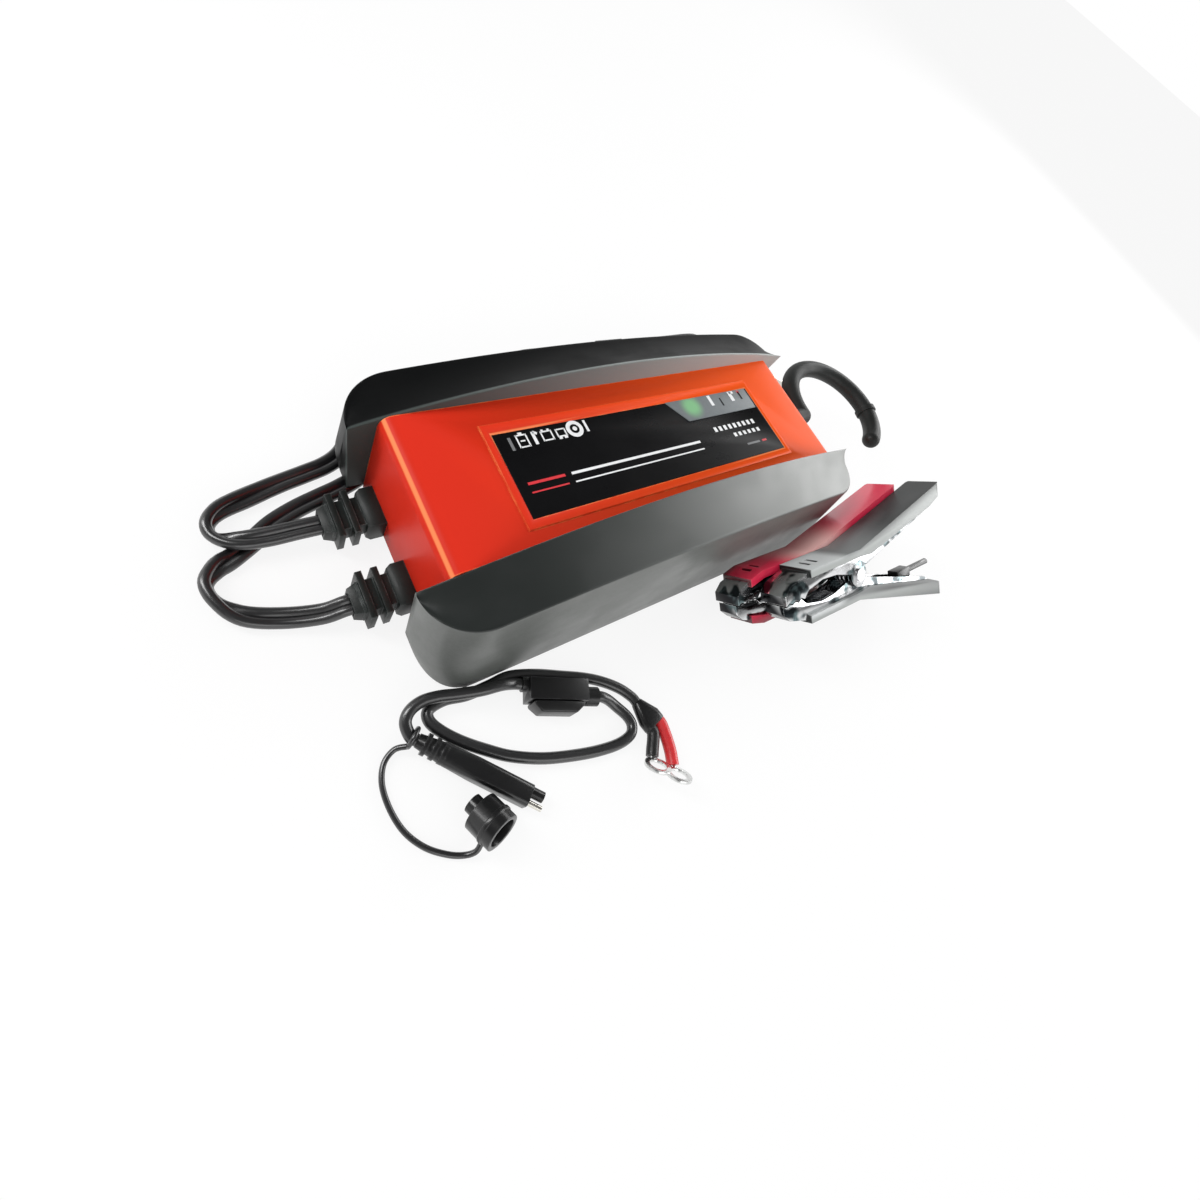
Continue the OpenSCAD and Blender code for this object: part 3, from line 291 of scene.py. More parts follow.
def moulded(name, colour, rough=0.4, spread=0.08, tone=0.06, size=1400, depth=0.00002, coat=0.0,
            specular=0.5, wear_and_painted_highlight=None, wear_and_highlight_amount=0.0, tint=None):
    """Moulded plastic or rubber. Its edge colour is edge wear, and on the housing a painted highlight.
    tint(tree, colour socket) may lay a pattern over the colour; some tints paint light and shade.
    """
    material, tree, shader = start_material(name, colour)
    toned = put_group(tree, TONE, Color=colour, Amount=tone).outputs["Color"]
    if tint:
        toned = tint(tree, toned)
    if wear_and_highlight_amount:
        mask = put_group(tree, EDGES, Radius=MOULDED_WEAR_AND_HIGHLIGHT_WIDTH, Strength=wear_and_highlight_amount).outputs["Mask"]
        toned = mix_colours(tree, mask, toned, wear_and_painted_highlight or tuple(min(1, c * 1.6 + 0.03) for c in colour))
    wire(tree, toned, shader.inputs["Base Color"])
    grain = put_group(tree, GRAIN, Size=size, Rough=rough, Spread=spread)
    wire(tree, grain.outputs["Roughness"], shader.inputs["Roughness"])
    shader.inputs["Specular IOR Level"].default_value = specular
    shader.inputs["Coat Weight"].default_value = coat
    shader.inputs["Coat Roughness"].default_value = COAT_ROUGHNESS
    add_bump(tree, shader, grain.outputs["Height"], depth)
    return material


def bare_metal(name, colour, rough=0.25, wear_and_highlight_amount=0.0, tint=None):
    """Drawn, pressed or plated metal, with the same kind of tint."""
    material, tree, shader = start_material(name, colour)
    drawn = put_group(tree, DRAWN, Color=colour, Rough=rough)
    toned = drawn.outputs["Color"]
    if tint:
        toned = tint(tree, toned)
    if wear_and_highlight_amount:
        mask = put_group(tree, EDGES, Radius=METAL_WEAR_WIDTH, Strength=wear_and_highlight_amount).outputs["Mask"]
        toned = mix_colours(tree, mask, toned, tuple(min(1, c * 1.25) for c in colour))
    wire(tree, toned, shader.inputs["Base Color"])
    wire(tree, drawn.outputs["Roughness"], shader.inputs["Roughness"])
    shader.inputs["Metallic"].default_value = 1.0
    add_bump(tree, shader, drawn.outputs["Height"], METAL_GRAIN_DEPTH)
    return material


# ---- patterns, painted light and painted shade that belong to one finish -------
def rail_painted_sheen(tree, colour):
    """The rail's walls keep the grey colour, and its top is painted with a sheen: dark at the left end and
    paler towards the hook end, as painted reflected light.
    """
    along = ramp_value(tree, place_axis(tree, "X"), -0.075, 0.092, 0, 1)
    painted_sheen = mix_colours(tree, along, (0.012, 0.015, 0.014), (0.24, 0.25, 0.24))
    return mix_colours(tree, ramp_value(tree, facing(tree, "Z"), 0.42, 0.62, 0, 1), colour, painted_sheen)


def cover_painted_light(tree, _flat):
    """The cover is painted darker red at the left end and brighter orange towards the hook, as painted light,
    and its rounded end edges get a paler painted highlight.

    The colours given here replace the cover's flat one, which is left out.
    """
    along = ramp_value(tree, place_axis(tree, "X"), -0.084, 0.07, 0, 1)
    colour = mix_colours(tree, along, (0.60, 0.024, 0.010), (0.84, 0.090, 0.008))
    across = math_node(tree, "ABSOLUTE", math_node(tree, "MULTIPLY", facing(tree, "X"), facing(tree, "Z")))
    return mix_colours(tree, ramp_value(tree, across, 0.45, 0.498, 0, 0.75), colour, (0.95, 0.30, 0.11))


def inner_strip(tree, colour):
    """The far rail's wall beside the cover is grey, painted dark at the left end and paler towards the hook
    end as painted light, and the rest is black.
    """
    near_cover = ramp_value(tree, place_axis(tree, "Y"), 0.0262, 0.0254, 0, 1)
    along = ramp_value(tree, place_axis(tree, "X"), -0.09, 0.08, 0, 1)
    strip = mix_colours(tree, along, (0.045, 0.055, 0.052), (0.42, 0.45, 0.44))
    return mix_colours(tree, near_cover, colour, strip)


def painted_shade_under(tree, colour, dark):
    """Surfaces that face downwards are painted dark, as painted shade."""
    return mix_colours(tree, ramp_value(tree, facing(tree, "Z"), -0.05, 0.35, 1, 0), colour, dark)


def red_grip_painted_light(tree, colour):
    """The red covers get a pink painted highlight on top, half way up the handle, and painted shade
    underneath and low down.
    """
    along = place_axis(tree, "X")
    starts, ends = ramp_value(tree, along, 0.034, 0.052, 0, 1), ramp_value(tree, along, 0.060, 0.080, 1, 0)
    on_top = ramp_value(tree, facing(tree, "Z"), 0.3, 0.6, 0, 0.9)
    painted_highlight_mask = math_node(tree, "MULTIPLY", math_node(tree, "MULTIPLY", starts, ends), on_top)
    wear_and_painted_highlight = mix_colours(tree, painted_highlight_mask, colour, (1.0, 0.62, 0.58))
    low = ramp_value(tree, place_axis(tree, "Z"), 0.014, 0.018, 0.94, 0)
    return mix_colours(tree, low, painted_shade_under(tree, wear_and_painted_highlight, (0.10, 0.006, 0.014)), (0.045, 0.004, 0.008))


def silvered_front(tree, colour):
    """The grey clamp's covers run from silver over the jaws to charcoal at the handle's end; their flank
    facing -Y is light grey, painted darker low down, and surfaces facing down are painted dark, both as
    painted shade.
    """
    along = place_axis(tree, "X")
    middle = mix_colours(tree, ramp_value(tree, along, 0.060, 0.086, 0, 1), (0.17, 0.18, 0.18), colour)
    top = mix_colours(tree, ramp_value(tree, along, 0.048, 0.056, 0, 1), (0.56, 0.58, 0.58), middle)
    side = mix_colours(tree, ramp_value(tree, place_axis(tree, "Z"), 0.018, 0.030, 0, 1), (0.085, 0.09, 0.09),
                       (0.40, 0.42, 0.41))
    flank = ramp_value(tree, facing(tree, "Y"), -0.35, -0.6, 0, 1)
    return painted_shade_under(tree, mix_colours(tree, flank, top, side), (0.008, 0.009, 0.009))


def chrome_painted_reflection(tree, colour):
    """Pressed jaws: bright chrome with dark and bluish patches painted on as painted reflections, and painted
    shade on surfaces that face down.
    """
    patches = ramp_value(tree, noise_node(tree, 130, 1.5, stretch=(1, 1, 1.6)), 0.42, 0.52, 0, 1)
    bluer = ramp_value(tree, noise_node(tree, 260, 2), 0.45, 0.6, 0, 1)
    painted_reflection_tone = mix_colours(tree, bluer, (0.04, 0.05, 0.055), (0.20, 0.27, 0.28))
    return painted_shade_under(tree, mix_colours(tree, patches, painted_reflection_tone, colour), (0.02, 0.02, 0.022))


FIRST_INDICATOR = (0.0255, 0.009, 0.0394)


def indicator_glow(tree, colour):
    """Green light behind the first indicator of the window."""
    centre = shade_node(tree, "ShaderNodeVectorMath", operation="DISTANCE")
    wire(tree, object_place(tree), centre.inputs[0])
    centre.inputs[1].default_value = FIRST_INDICATOR
    glow = ramp_value(tree, centre.outputs["Value"], 0.0062, 0.0016, 0, 0.85)
    return mix_colours(tree, glow, colour, (0.22, 0.50, 0.24))


def board_tracks(tree, colour):
    """Copper tracks under the solder mask."""
    cells = shade_node(tree, "ShaderNodeTexVoronoi", feature="DISTANCE_TO_EDGE", distance="MANHATTAN")
    wire(tree, object_place(tree), cells.inputs["Vector"])
    cells.inputs["Scale"].default_value = 190
    tracks = ramp_value(tree, cells.outputs["Distance"], 0.05, 0.09, 1, 0)
    return mix_colours(tree, math_node(tree, "MULTIPLY", tracks, 0.8), colour, (0.02, 0.16, 0.06))


def wound_wire(tree, colour):
    """Turns of enamelled wire round an upright coil."""
    wave = shade_node(tree, "ShaderNodeTexWave", wave_type="BANDS", bands_direction="Z", wave_profile="SIN")
    wire(tree, object_place(tree), wave.inputs["Vector"])
    wave.inputs["Scale"].default_value = 400
    return mix_colours(tree, wave.outputs["Fac"], (0.22, 0.12, 0.024), colour)


def wrapped_print(tree, colour):
    """Pale stripe down one side of a capacitor's sleeve."""
    wave = noise_node(tree, 60, 0, stretch=(1, 1, 0.02))
    return mix_colours(tree, ramp_value(tree, wave, 0.56, 0.6, 0, 1), colour, (0.35, 0.37, 0.42))


FINISH = {
    # The housing's pale edge colour is a painted highlight along the pad's edges, and its tint paints light
    # over the cover.
    "housing": moulded("housing_orange", (0.76, 0.050, 0.012), rough=0.38, spread=0.02, tone=0.04, size=2200,
                       depth=0.000008, specular=0.1, wear_and_painted_highlight=(0.95, 0.30, 0.09), wear_and_highlight_amount=0.8,
                       tint=cover_painted_light),
    "black_plastic": moulded("base_black", (0.014, 0.014, 0.015), rough=0.5, tone=0.12),
    "rail_grey": moulded("rail_grey", (0.115, 0.122, 0.115), rough=0.40, spread=0.06, tone=0.08,
                         size=2400, depth=0.000014, wear_and_painted_highlight=(0.22, 0.23, 0.22), wear_and_highlight_amount=0.5, tint=rail_painted_sheen),
    "rail_black": moulded("rail_black", (0.0035, 0.0038, 0.004), rough=0.46, spread=0.05, tone=0.1,
                          size=2400, depth=0.000012, specular=0.09, wear_and_painted_highlight=(0.06, 0.062, 0.064), wear_and_highlight_amount=0.4,
                          tint=inner_strip),
    "label": moulded("label_black", (0.0035, 0.0035, 0.004), rough=0.3, spread=0.03, tone=0.15, size=3000,
                     depth=0.000003, specular=0.12),
    "window": moulded("window_grey", (0.165, 0.182, 0.190), rough=0.42, spread=0.04, tone=0.05,
                      depth=0.000004, specular=0.12, tint=indicator_glow),
    "seal": moulded("seal_rubber", (0.012, 0.012, 0.012), rough=0.75, tone=0.15),
    "board": moulded("board_green", (0.006, 0.075, 0.028), rough=0.3, tint=board_tracks),
    "ferrite": moulded("ferrite_grey", (0.03, 0.03, 0.032), rough=0.55, tone=0.2, size=3000),
    "winding": moulded("winding_copper", (0.55, 0.26, 0.05), rough=0.3, tint=wound_wire, coat=0.4),
    "capacitor": moulded("capacitor_sleeve", (0.012, 0.014, 0.045), rough=0.3, tint=wrapped_print),
    "heatsink": bare_metal("heatsink_aluminium", (0.62, 0.63, 0.65), rough=0.42),
    "led": moulded("led_body", (0.32, 0.62, 0.34), rough=0.25, coat=0.4),
    "light_guide": moulded("light_guide_clear", (0.62, 0.70, 0.68), rough=0.12, coat=0.6),
    "screw": bare_metal("screw_zinc", (0.58, 0.58, 0.56), rough=0.32, wear_and_highlight_amount=0.4),
    "foot": moulded("foot_rubber", (0.016, 0.016, 0.017), rough=0.85, tone=0.2, size=1800, depth=0.00005),
    "fuse": moulded("fuse_ceramic", (0.62, 0.60, 0.54), rough=0.45, tone=0.08),
    "terminal": moulded("terminal_green", (0.02, 0.14, 0.06), rough=0.4),
    "inner_lead": moulded("inner_lead_sleeve", (0.30, 0.05, 0.03), rough=0.4),
    "relief": moulded("relief_rubber", (0.008, 0.011, 0.010), rough=0.42, spread=0.06, tone=0.14, size=1800,
                      depth=0.00002, specular=0.3, wear_and_painted_highlight=(0.12, 0.13, 0.128), wear_and_highlight_amount=0.9),
    "hook": moulded("hook_charcoal", (0.014, 0.016, 0.015), rough=0.5, spread=0.08, tone=0.14, size=1600,
                    depth=0.00002, specular=0.3, wear_and_painted_highlight=(0.06, 0.06, 0.06), wear_and_highlight_amount=0.4),
    "cord": moulded("cord_black", (0.007, 0.007, 0.0078), rough=0.36, spread=0.04, tone=0.15, size=1500,
                    depth=0.000006, specular=0.9, coat=0.5),
    "plug": moulded("plug_black", (0.005, 0.005, 0.0055), rough=0.34, spread=0.04, tone=0.15, size=1600,
                    depth=0.000012, specular=0.5, coat=0.2, wear_and_painted_highlight=(0.07, 0.07, 0.073), wear_and_highlight_amount=0.6),
    "blade": bare_metal("blade_nickel", (0.76, 0.74, 0.68), rough=0.25, wear_and_highlight_amount=0.4),
    "jaw_steel": bare_metal("jaw_chrome", (0.82, 0.83, 0.84), rough=0.12, wear_and_highlight_amount=0.5, tint=chrome_painted_reflection),
    "pin": bare_metal("pin_steel", (0.66, 0.66, 0.67), rough=0.24, wear_and_highlight_amount=0.4),
    "spring": bare_metal("spring_steel", (0.30, 0.30, 0.31), rough=0.28),
    "red_cover": moulded("grip_red", (0.78, 0.024, 0.078), rough=0.30, spread=0.02, tone=0.04, size=1800,
                         depth=0.000004, coat=0.6, wear_and_painted_highlight=(0.80, 0.12, 0.14), wear_and_highlight_amount=0.5, tint=red_grip_painted_light),
    "black_cover": moulded("grip_grey", (0.014, 0.016, 0.016), rough=0.36, spread=0.02, tone=0.06,
                           size=1800, depth=0.000004, specular=0.25, wear_and_painted_highlight=(0.2, 0.21, 0.21), wear_and_highlight_amount=0.4,
                           tint=silvered_front),
    "ring": bare_metal("ring_tinned", (0.80, 0.81, 0.80), rough=0.22, wear_and_highlight_amount=0.4),
    "red_sleeve": moulded("sleeve_red", (0.66, 0.03, 0.035), rough=0.34, tone=0.1),
    "black_sleeve": moulded("sleeve_black", (0.012, 0.012, 0.012), rough=0.4, tone=0.1),
}
PRINT_WHITE = moulded("print_white", (0.74, 0.75, 0.76), rough=0.45, tone=0.05, depth=0.000003)
PRINT_GREY = moulded("print_grey", (0.16, 0.165, 0.17), rough=0.45, tone=0.05, depth=0.000003)
PRINT_RED = moulded("print_red", (0.60, 0.02, 0.03), rough=0.45, tone=0.05, depth=0.000003)

SLOT_NODES = {
    "housing": "top_cover",
    "black_plastic": "base_cover hook_bush",
    "rail_grey": "near_rail",
    "rail_black": "far_rail",
    "label": "label_panel",
    "window": "indicator_window",
    "seal": "cover_seal",
    "board": "circuit_board",
    "ferrite": "transformer_core power_transistors",
    "winding": "transformer_winding",
    "capacitor": "capacitors",
    "heatsink": "heatsink",
    "led": "indicator_leds",
    "light_guide": "light_guides",
    "screw": "board_screws cover_screws rail_screws hook_clip",
    "foot": "feet",
    "fuse": "board_fuse",
    "terminal": "lead_terminals",
    "inner_lead": "inner_leads",
    "relief": "ac_strain_relief dc_strain_relief",
    "hook": "hook",
    "cord": "ac_cord ac_cord_hank dc_cord harness_tail harness_loop cap_tether ac_cord_tie",
    "plug": "ac_plug dc_connector quick_plug plug_cap fuse_holder fuse_cap harness_fork clamp_wire_crimp",
    "blade": "ac_plug_blades dc_connector_pin quick_plug_pin",
    "jaw_steel": "red_upper_jaw red_lower_jaw black_upper_jaw black_lower_jaw",
    "pin": "red_pivot_pin black_pivot_pin",
    "spring": "red_spring black_spring",
    "red_cover": "red_upper_cover red_lower_cover",
    "black_cover": "black_upper_cover black_lower_cover",
    "ring": "ring_terminals",
    "red_sleeve": "red_sleeve",
    "black_sleeve": "black_sleeve",
}
SLOT_OF = {n: s for s, names in SLOT_NODES.items() for n in names.split()}
for node_name, node_object in NODES.items():
    node_object.data.materials.clear()
    node_object.data.materials.append(FINISH[SLOT_OF[node_name]])


# ---- mesh helpers ----------------------------------------------------------------
# Edges that turn by more than so many degrees are shaded sharp.
SHARP, SHARP_TUBE = 35, 50


def settle(name, bm, slot, body=BASE, stands_for=(), sharp=SHARP, finish=None):
    """Makes the piece's object from a bmesh, with its place in its mesh."""
    mesh = bpy.data.meshes.new(name)
    bm.to_mesh(mesh)
    bm.free()
    mesh.materials.append(finish or FINISH[slot])
    mesh.shade_smooth()
    mesh.set_sharp_from_angle(angle=math.radians(sharp))
    piece = bpy.data.objects.new(name, mesh)
    bpy.context.scene.collection.objects.link(piece)
    if body:
        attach(piece, body)
    if stands_for:
        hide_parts(*stands_for)
    return piece


# Only edges that turn by more than so many degrees are rounded, and are longer than so many widths.
SOFTENED_FROM, SHORTEST_EDGE = 30, 1.2


def softened(node, width, segments=2, pick=None):
    """A copy of a CAD node, its edges rounded, or those that pick chooses by their ends in millimetres."""
    bm = bmesh.new()
    bm.from_mesh(NODES[node].data)
    for layer in list(bm.loops.layers.float_vector.values()):
        bm.loops.layers.float_vector.remove(layer)
    bmesh.ops.remove_doubles(bm, verts=bm.verts, dist=2e-6)
    bmesh.ops.dissolve_limit(bm, angle_limit=math.radians(1), verts=bm.verts, edges=bm.edges)
    edges = [
        e for e in bm.edges
        if len(e.link_faces) == 2 and e.calc_face_angle(0) > math.radians(SOFTENED_FROM)
        and e.calc_length() > SHORTEST_EDGE * width * MM
        and (pick is None or pick(*(v.co / MM for v in e.verts)))
    ]
    bmesh.ops.bevel(bm, geom=edges, offset=width * MM, offset_type="OFFSET", segments=segments,
                    profile=0.5, affect="EDGES", material=-1, clamp_overlap=pick is None)
    settle(node + "_dressed", bm, SLOT_OF[node], BODY_OF[node], (node,))


def unit(v):
    return v.normalized()


def smooth_line(points, steps):
    """Catmull-Rom line through the points; each point may carry a twist as its fourth number."""
    def at(i, t):
        a, b, c, d = (points[min(max(i + k, 0), len(points) - 1)] for k in (-1, 0, 1, 2))
        return [
            (2 * q + (r - p) * t + (2 * p - 5 * q + 4 * r - s) * t * t + (3 * q - p - 3 * r + s) * t ** 3) / 2
            for p, q, r, s in zip(a, b, c, d)
        ]
    line = [at(i, k / steps) for i in range(len(points) - 1) for k in range(steps)]
    return line + [list(points[-1])]


def grow_ring(bm, ring, edges, corners):
    """Extrudes an open ring of edges, and moves the new ring to the given corners, in millimetres."""
    made = bmesh.ops.extrude_edge_only(bm, edges=edges)["geom"]
    fresh = {g for g in made if isinstance(g, bmesh.types.BMVert)}
    ring = [next(e.other_vert(v) for e in v.link_edges if e.other_vert(v) in fresh) for v in ring]
    for v, c in zip(ring, corners):
        v.co = c * MM
    return ring, [bm.edges.get((ring[k - 1], ring[k])) for k in range(len(ring))]


def loft(rings):
    """Closed skin over rings of corners, in millimetres, with a face on its first and last ring."""
    bm = bmesh.new()
    ring = [bm.verts.new(c * MM) for c in rings[0]]
    edges = [bm.edges.new((ring[k - 1], ring[k])) for k in range(len(ring))]
    bmesh.ops.contextual_create(bm, geom=edges)
    for corners in rings[1:]:
        ring, edges = grow_ring(bm, ring, edges, corners)
    bmesh.ops.contextual_create(bm, geom=edges)
    bmesh.ops.recalc_face_normals(bm, faces=bm.faces)
    return bm


UPWARDS = Vector((0, 0, 1))


def sweep(line, section, across=UPWARDS):
    """Closed tube along the line, in millimetres. Its section's first axis is square to across."""
    middle = [Vector(p[:3]) for p in line]
    rings = []
    for i, p in enumerate(middle):
        along = unit(middle[min(i + 1, len(middle) - 1)] - middle[max(i - 1, 0)])
        side = unit(across.cross(along))
        up = along.cross(side)
        a = math.radians(line[i][3]) if len(line[i]) > 3 else 0
        rings.append([
            p + side * (u * math.cos(a) - v * math.sin(a)) + up * (u * math.sin(a) + v * math.cos(a))
            for u, v in section
        ])
    return loft(rings)


def round_section(d, n=16):
    return [(d / 2 * math.cos(k * math.tau / n), d / 2 * math.sin(k * math.tau / n)) for k in range(n)]


LOBE_HALF_ANGLE, LOBE_POINTS, HALF_WEB = 128, 9, 0.62


def twin_section(w, t):
    """Two round cores side by side, with a web between them that leaves a groove on each face."""
    lobe = [
        math.radians(-LOBE_HALF_ANGLE + 2 * LOBE_HALF_ANGLE * k / (LOBE_POINTS - 1))
        for k in range(LOBE_POINTS)
    ]
    right = [((w - t) / 2 + t / 2 * math.cos(a), t / 2 * math.sin(a)) for a in lobe]
    left = [(-x, -y) for x, y in right]
    return right + [(0, HALF_WEB)] + left + [(0, -HALF_WEB)]


def metres(line, every=1):
    """Every so manyth point of a line in millimetres, and its last, in metres."""
    kept = line[::every]
    if kept[-1] is not line[-1]:
        kept.append(line[-1])
    return [tuple(c * MM for c in p[:3]) for p in kept]


def shifted(x, y, z):
    """A move by millimetres."""
    return Matrix.Translation(Vector((x, y, z)) * MM)


def boxed(bm, x, y, z, lx, ly, lz, turn=0):
    """A closed block in millimetres, z its lowest height, turned in plan by degrees."""
    place = shifted(x, y, z + lz / 2) @ Matrix.Rotation(math.radians(turn), 4, "Z")
    bmesh.ops.create_cube(bm, size=1, matrix=place @ Matrix.Diagonal((lx * MM, ly * MM, lz * MM, 1)))


# ---- harness pieces ---------------------------------------------------------------------------
PIECE_ROUNDING = {
    "quick_plug": 0.3, "plug_cap": 0.3, "fuse_holder": 0.5, "fuse_cap": 0.5, "harness_fork": 0.3,
    "clamp_wire_crimp": 0.3, "ring_terminals": 0.15, "ac_plug": 0.3, "dc_connector": 0.3,
}
for node, width in PIECE_ROUNDING.items():
    softened(node, width)

FORK_PLACE = shifted(-30, -72.2, 1.8) @ Matrix.Rotation(math.radians(-76), 4, "Z")
SLEEVE_D, SLEEVE_Z = 4.0, 0.4
SLEEVES = {
    "red_sleeve": [(9, 2.05), (10.4, 2), (13, 1), (16, -0.4), (18.6, -1.9), (21.4, -4)],
    "black_sleeve": [(9, -2.05), (10.4, -2.3), (12, -4), (13.5, -6), (14.9, -7.7)],
}
for node, route in SLEEVES.items():
    bm = sweep(smooth_line([(x, y, SLEEVE_Z) for x, y in route], 5), round_section(SLEEVE_D))
    bm.transform(FORK_PLACE)
    settle(node + "_tube", bm, SLOT_OF[node], stands_for=(node,), sharp=SHARP_TUBE)


# ---- leads and cables --------------------------------------------------------------
LEAD_W, LEAD_T = 6.2, 3.1
STEPS = 6
# Each point of a flat lead is x, y, z and its twist: 0 lies flat, 90 stands on its edge.
AC_POINTS = [
    (-94.5, 13, 6.4, 0), (-98, 13, 6.4, 0), (-101.5, 13, 6.4, 0), (-107, 13.3, 6, 0),
    (-115, 13.8, 5.2, 0), (-122, 15, 4.8, 20), (-126.8, 18.6, 3.3, 70), (-127.2, 22.6, 3.3, 80),
    (-123.5, 26.2, 3.1, 60), (-116, 29, 2.2, 25), (-107, 31.6, 1.8, 0), (-99, 33.4, 1.7, 0),
    (-92.5, 35, 1.7, 0), (-87.4, 37.6, 1.7, 0), (-83, 42, 1.7, 0), (-79, 47.6, 1.8, 5),
    (-74.6, 53.4, 2.6, 40), (-69, 58.6, 3.3, 80), (-62, 62.4, 3.3, 90), (-53, 64.8, 3.3, 90),
    (-42, 66, 3.3, 90), (-30, 66.7, 3.3, 90), (-20, 66.9, 3.3, 90),
]
DC_POINTS = [
    (-94.5, -13, 6.4, 0), (-98, -13, 6.4, 0), (-102.5, -13, 6.35, 0), (-108, -12.2, 3.6, 0),
    (-117, -9.4, 1.9, 0), (-125.4, -5.8, 2.3, 20), (-130.4, -0.4, 3.1, 70), (-131.6, 5.2, 3.2, 80),
    (-128.4, 9.2, 2.7, 50), (-123.5, 11.8, 1.75, 0), (-118, 15, 1.7, 0), (-112, 19, 1.7, 0),
    (-105, 22, 1.7, 0), (-97.6, 24.2, 1.7, 0), (-90.4, 26.2, 1.7, 0), (-83, 29.2, 1.7, 0),
    (-76.4, 33.6, 1.7, 0), (-72, 39.2, 1.7, 0), (-69, 45, 1.7, 0), (-65.4, 50, 1.8, 0),
    (-61, 52.6, 2.8, 0), (-58.5, 52.8, 3.4, 0), (-56.5, 52.8, 3.4, 0),
]
# The hank lies along X behind the far rail: its two ends and middle line, how far the tie draws it in, the
# step from layer to layer, the lower layer's height, and each stretch's half width and layer.
HANK_X0, HANK_X1, HANK_Y = -9, 81, 57.2
HANK_WAIST, HANK_STEP, HANK_LOW = 0.08, 6.7, 3.3
HANK_R = [9.7, 7.725, 5.75, 3.775, 5.75]
HANK_LAYER = [0, 0, 0, 1, 1]
RUN_STEPS, TURN_STEPS = 9, 8
ON_EDGE = 90
AC_TAIL = [(87, 62.4, 9.6, 90), (92, 60.4, 7.4, 90), (97, 56, 5.6, 90), (100, 53, 5.6, 90)]


def hank_run(k):
    """The straight stretch k. Stretch 3 climbs from the lower layer to the upper one."""
    s, r = (-1 if k % 2 == 0 else 1), HANK_R[k]
    low, high = HANK_LAYER[2 if k == 3 else k], HANK_LAYER[k]
    points = []
    for i in range(RUN_STEPS + 1):
        u = i / RUN_STEPS
        x = HANK_X0 + (HANK_X1 - HANK_X0) * (u if s < 0 else 1 - u)
        drawn = 1 if k == 0 else 1 - HANK_WAIST * math.sin(math.pi * u) ** 2
        rise = u * u * (3 - 2 * u)
        z = HANK_LOW + HANK_STEP * (low + (high - low) * rise)
        points.append((x, HANK_Y - s * r * drawn, z, ON_EDGE))
    return points


def hank_turn(k):
    """The half turn from stretch k to the next, without its two ends."""
    s = 1 if k % 2 == 0 else -1
    points = []
    for i in range(1, TURN_STEPS):
        u = i / TURN_STEPS
        r = HANK_R[k] + (HANK_R[k + 1] - HANK_R[k]) * u
        points.append((
            (HANK_X1 if s > 0 else HANK_X0) + s * r * math.sin(math.pi * u),
            HANK_Y + s * r * math.cos(math.pi * u),
            HANK_LOW + HANK_STEP * HANK_LAYER[k],
            ON_EDGE,
        ))
    return points


hank_points = hank_run(0)
for k in range(1, len(HANK_R)):
    hank_points += hank_turn(k - 1) + hank_run(k)
ac_line = smooth_line(AC_POINTS, STEPS)[:-1] + smooth_line([AC_POINTS[-1]] + hank_points + AC_TAIL, 3)
dc_line = smooth_line(DC_POINTS, STEPS)
twin = twin_section(LEAD_W, LEAD_T)
ac_lead = settle("ac_lead", sweep(ac_line, twin), "cord", stands_for=("ac_cord", "ac_cord_hank"),
                 sharp=SHARP_TUBE)
dc_lead = settle("dc_lead", sweep(dc_line, twin), "cord", stands_for=("dc_cord",), sharp=SHARP_TUBE)
metres(ac_line, 2)
metres(dc_line, 2)

HARNESS_D, TETHER_D = 3.4, 1.6
TAIL_POINTS = [
    (-96.6, -53.9, 3.3), (-97.9, -52.3, 3.35), (-98, -48.6, 3.9), (-96, -46.2, 4.5), (-92.4, -45.2, 5),
    (-88, -45.8, 5.3), (-82.5, -47.5, 5.4), (-76, -49.2, 5.4), (-70, -50.1, 5), (-65.9, -51.1, 3.8),
    (-63.8, -52.08, 3.8),
]
LOOP_POINTS = [
    (-43.02, -65.22, 3.8), (-41.5, -65.94, 3.8), (-39.4, -67.6, 2.9), (-37.4, -70.4, 2), (-35.3, -74.6, 1.8),
    (-35.2, -77.8, 1.8), (-37.4, -80, 1.8), (-42.6, -80.4, 1.8), (-50.5, -78.9, 1.8), (-59.1, -76.2, 1.8),
    (-67, -73, 1.8), (-74.7, -68.6, 1.8), (-80.3, -64.1, 1.8), (-85.6, -59.2, 1.8), (-89.6, -54.4, 1.8),
    (-91.6, -50.4, 1.8), (-90.6, -47.6, 1.8), (-85.6, -46.9, 1.8), (-79.4, -48.2, 1.8), (-72.4, -48.3, 1.8),
    (-65.7, -48.2, 1.8), (-58.1, -50.7, 1.8), (-50.5, -54.4, 1.8), (-43, -58.3, 1.8), (-37.6, -62, 1.8),
    (-33.2, -66.2, 1.8), (-30.6, -70.2, 1.8), (-30, -72.2, 1.8),
]
TETHER_POINTS = [
    (-99.4, -54.2, 2.9), (-102.4, -53.4, 1.5), (-105.8, -55.4, 0.9), (-107.9, -60, 0.9), (-108.1, -66.4, 0.9),
    (-106.7, -72.8, 0.9), (-103.5, -78.3, 0.9), (-99.2, -82.4, 0.9), (-95.6, -84.6, 1.2), (-93, -85.2, 2.7),
    (-91.4, -84.1, 4),
]


def turned(x, y, z):
    """A turn by degrees about X, then Y, then Z."""
    return Euler([math.radians(a) for a in (x, y, z)], "XYZ").to_matrix().to_4x4()


def round_cable(name, points, d, stands_for):
    line = smooth_line(points, STEPS)
    cable = settle(name, sweep(line, round_section(d)), "cord", stands_for=stands_for, sharp=SHARP_TUBE)
    metres(line[:1])[0]
    metres(line, 2)


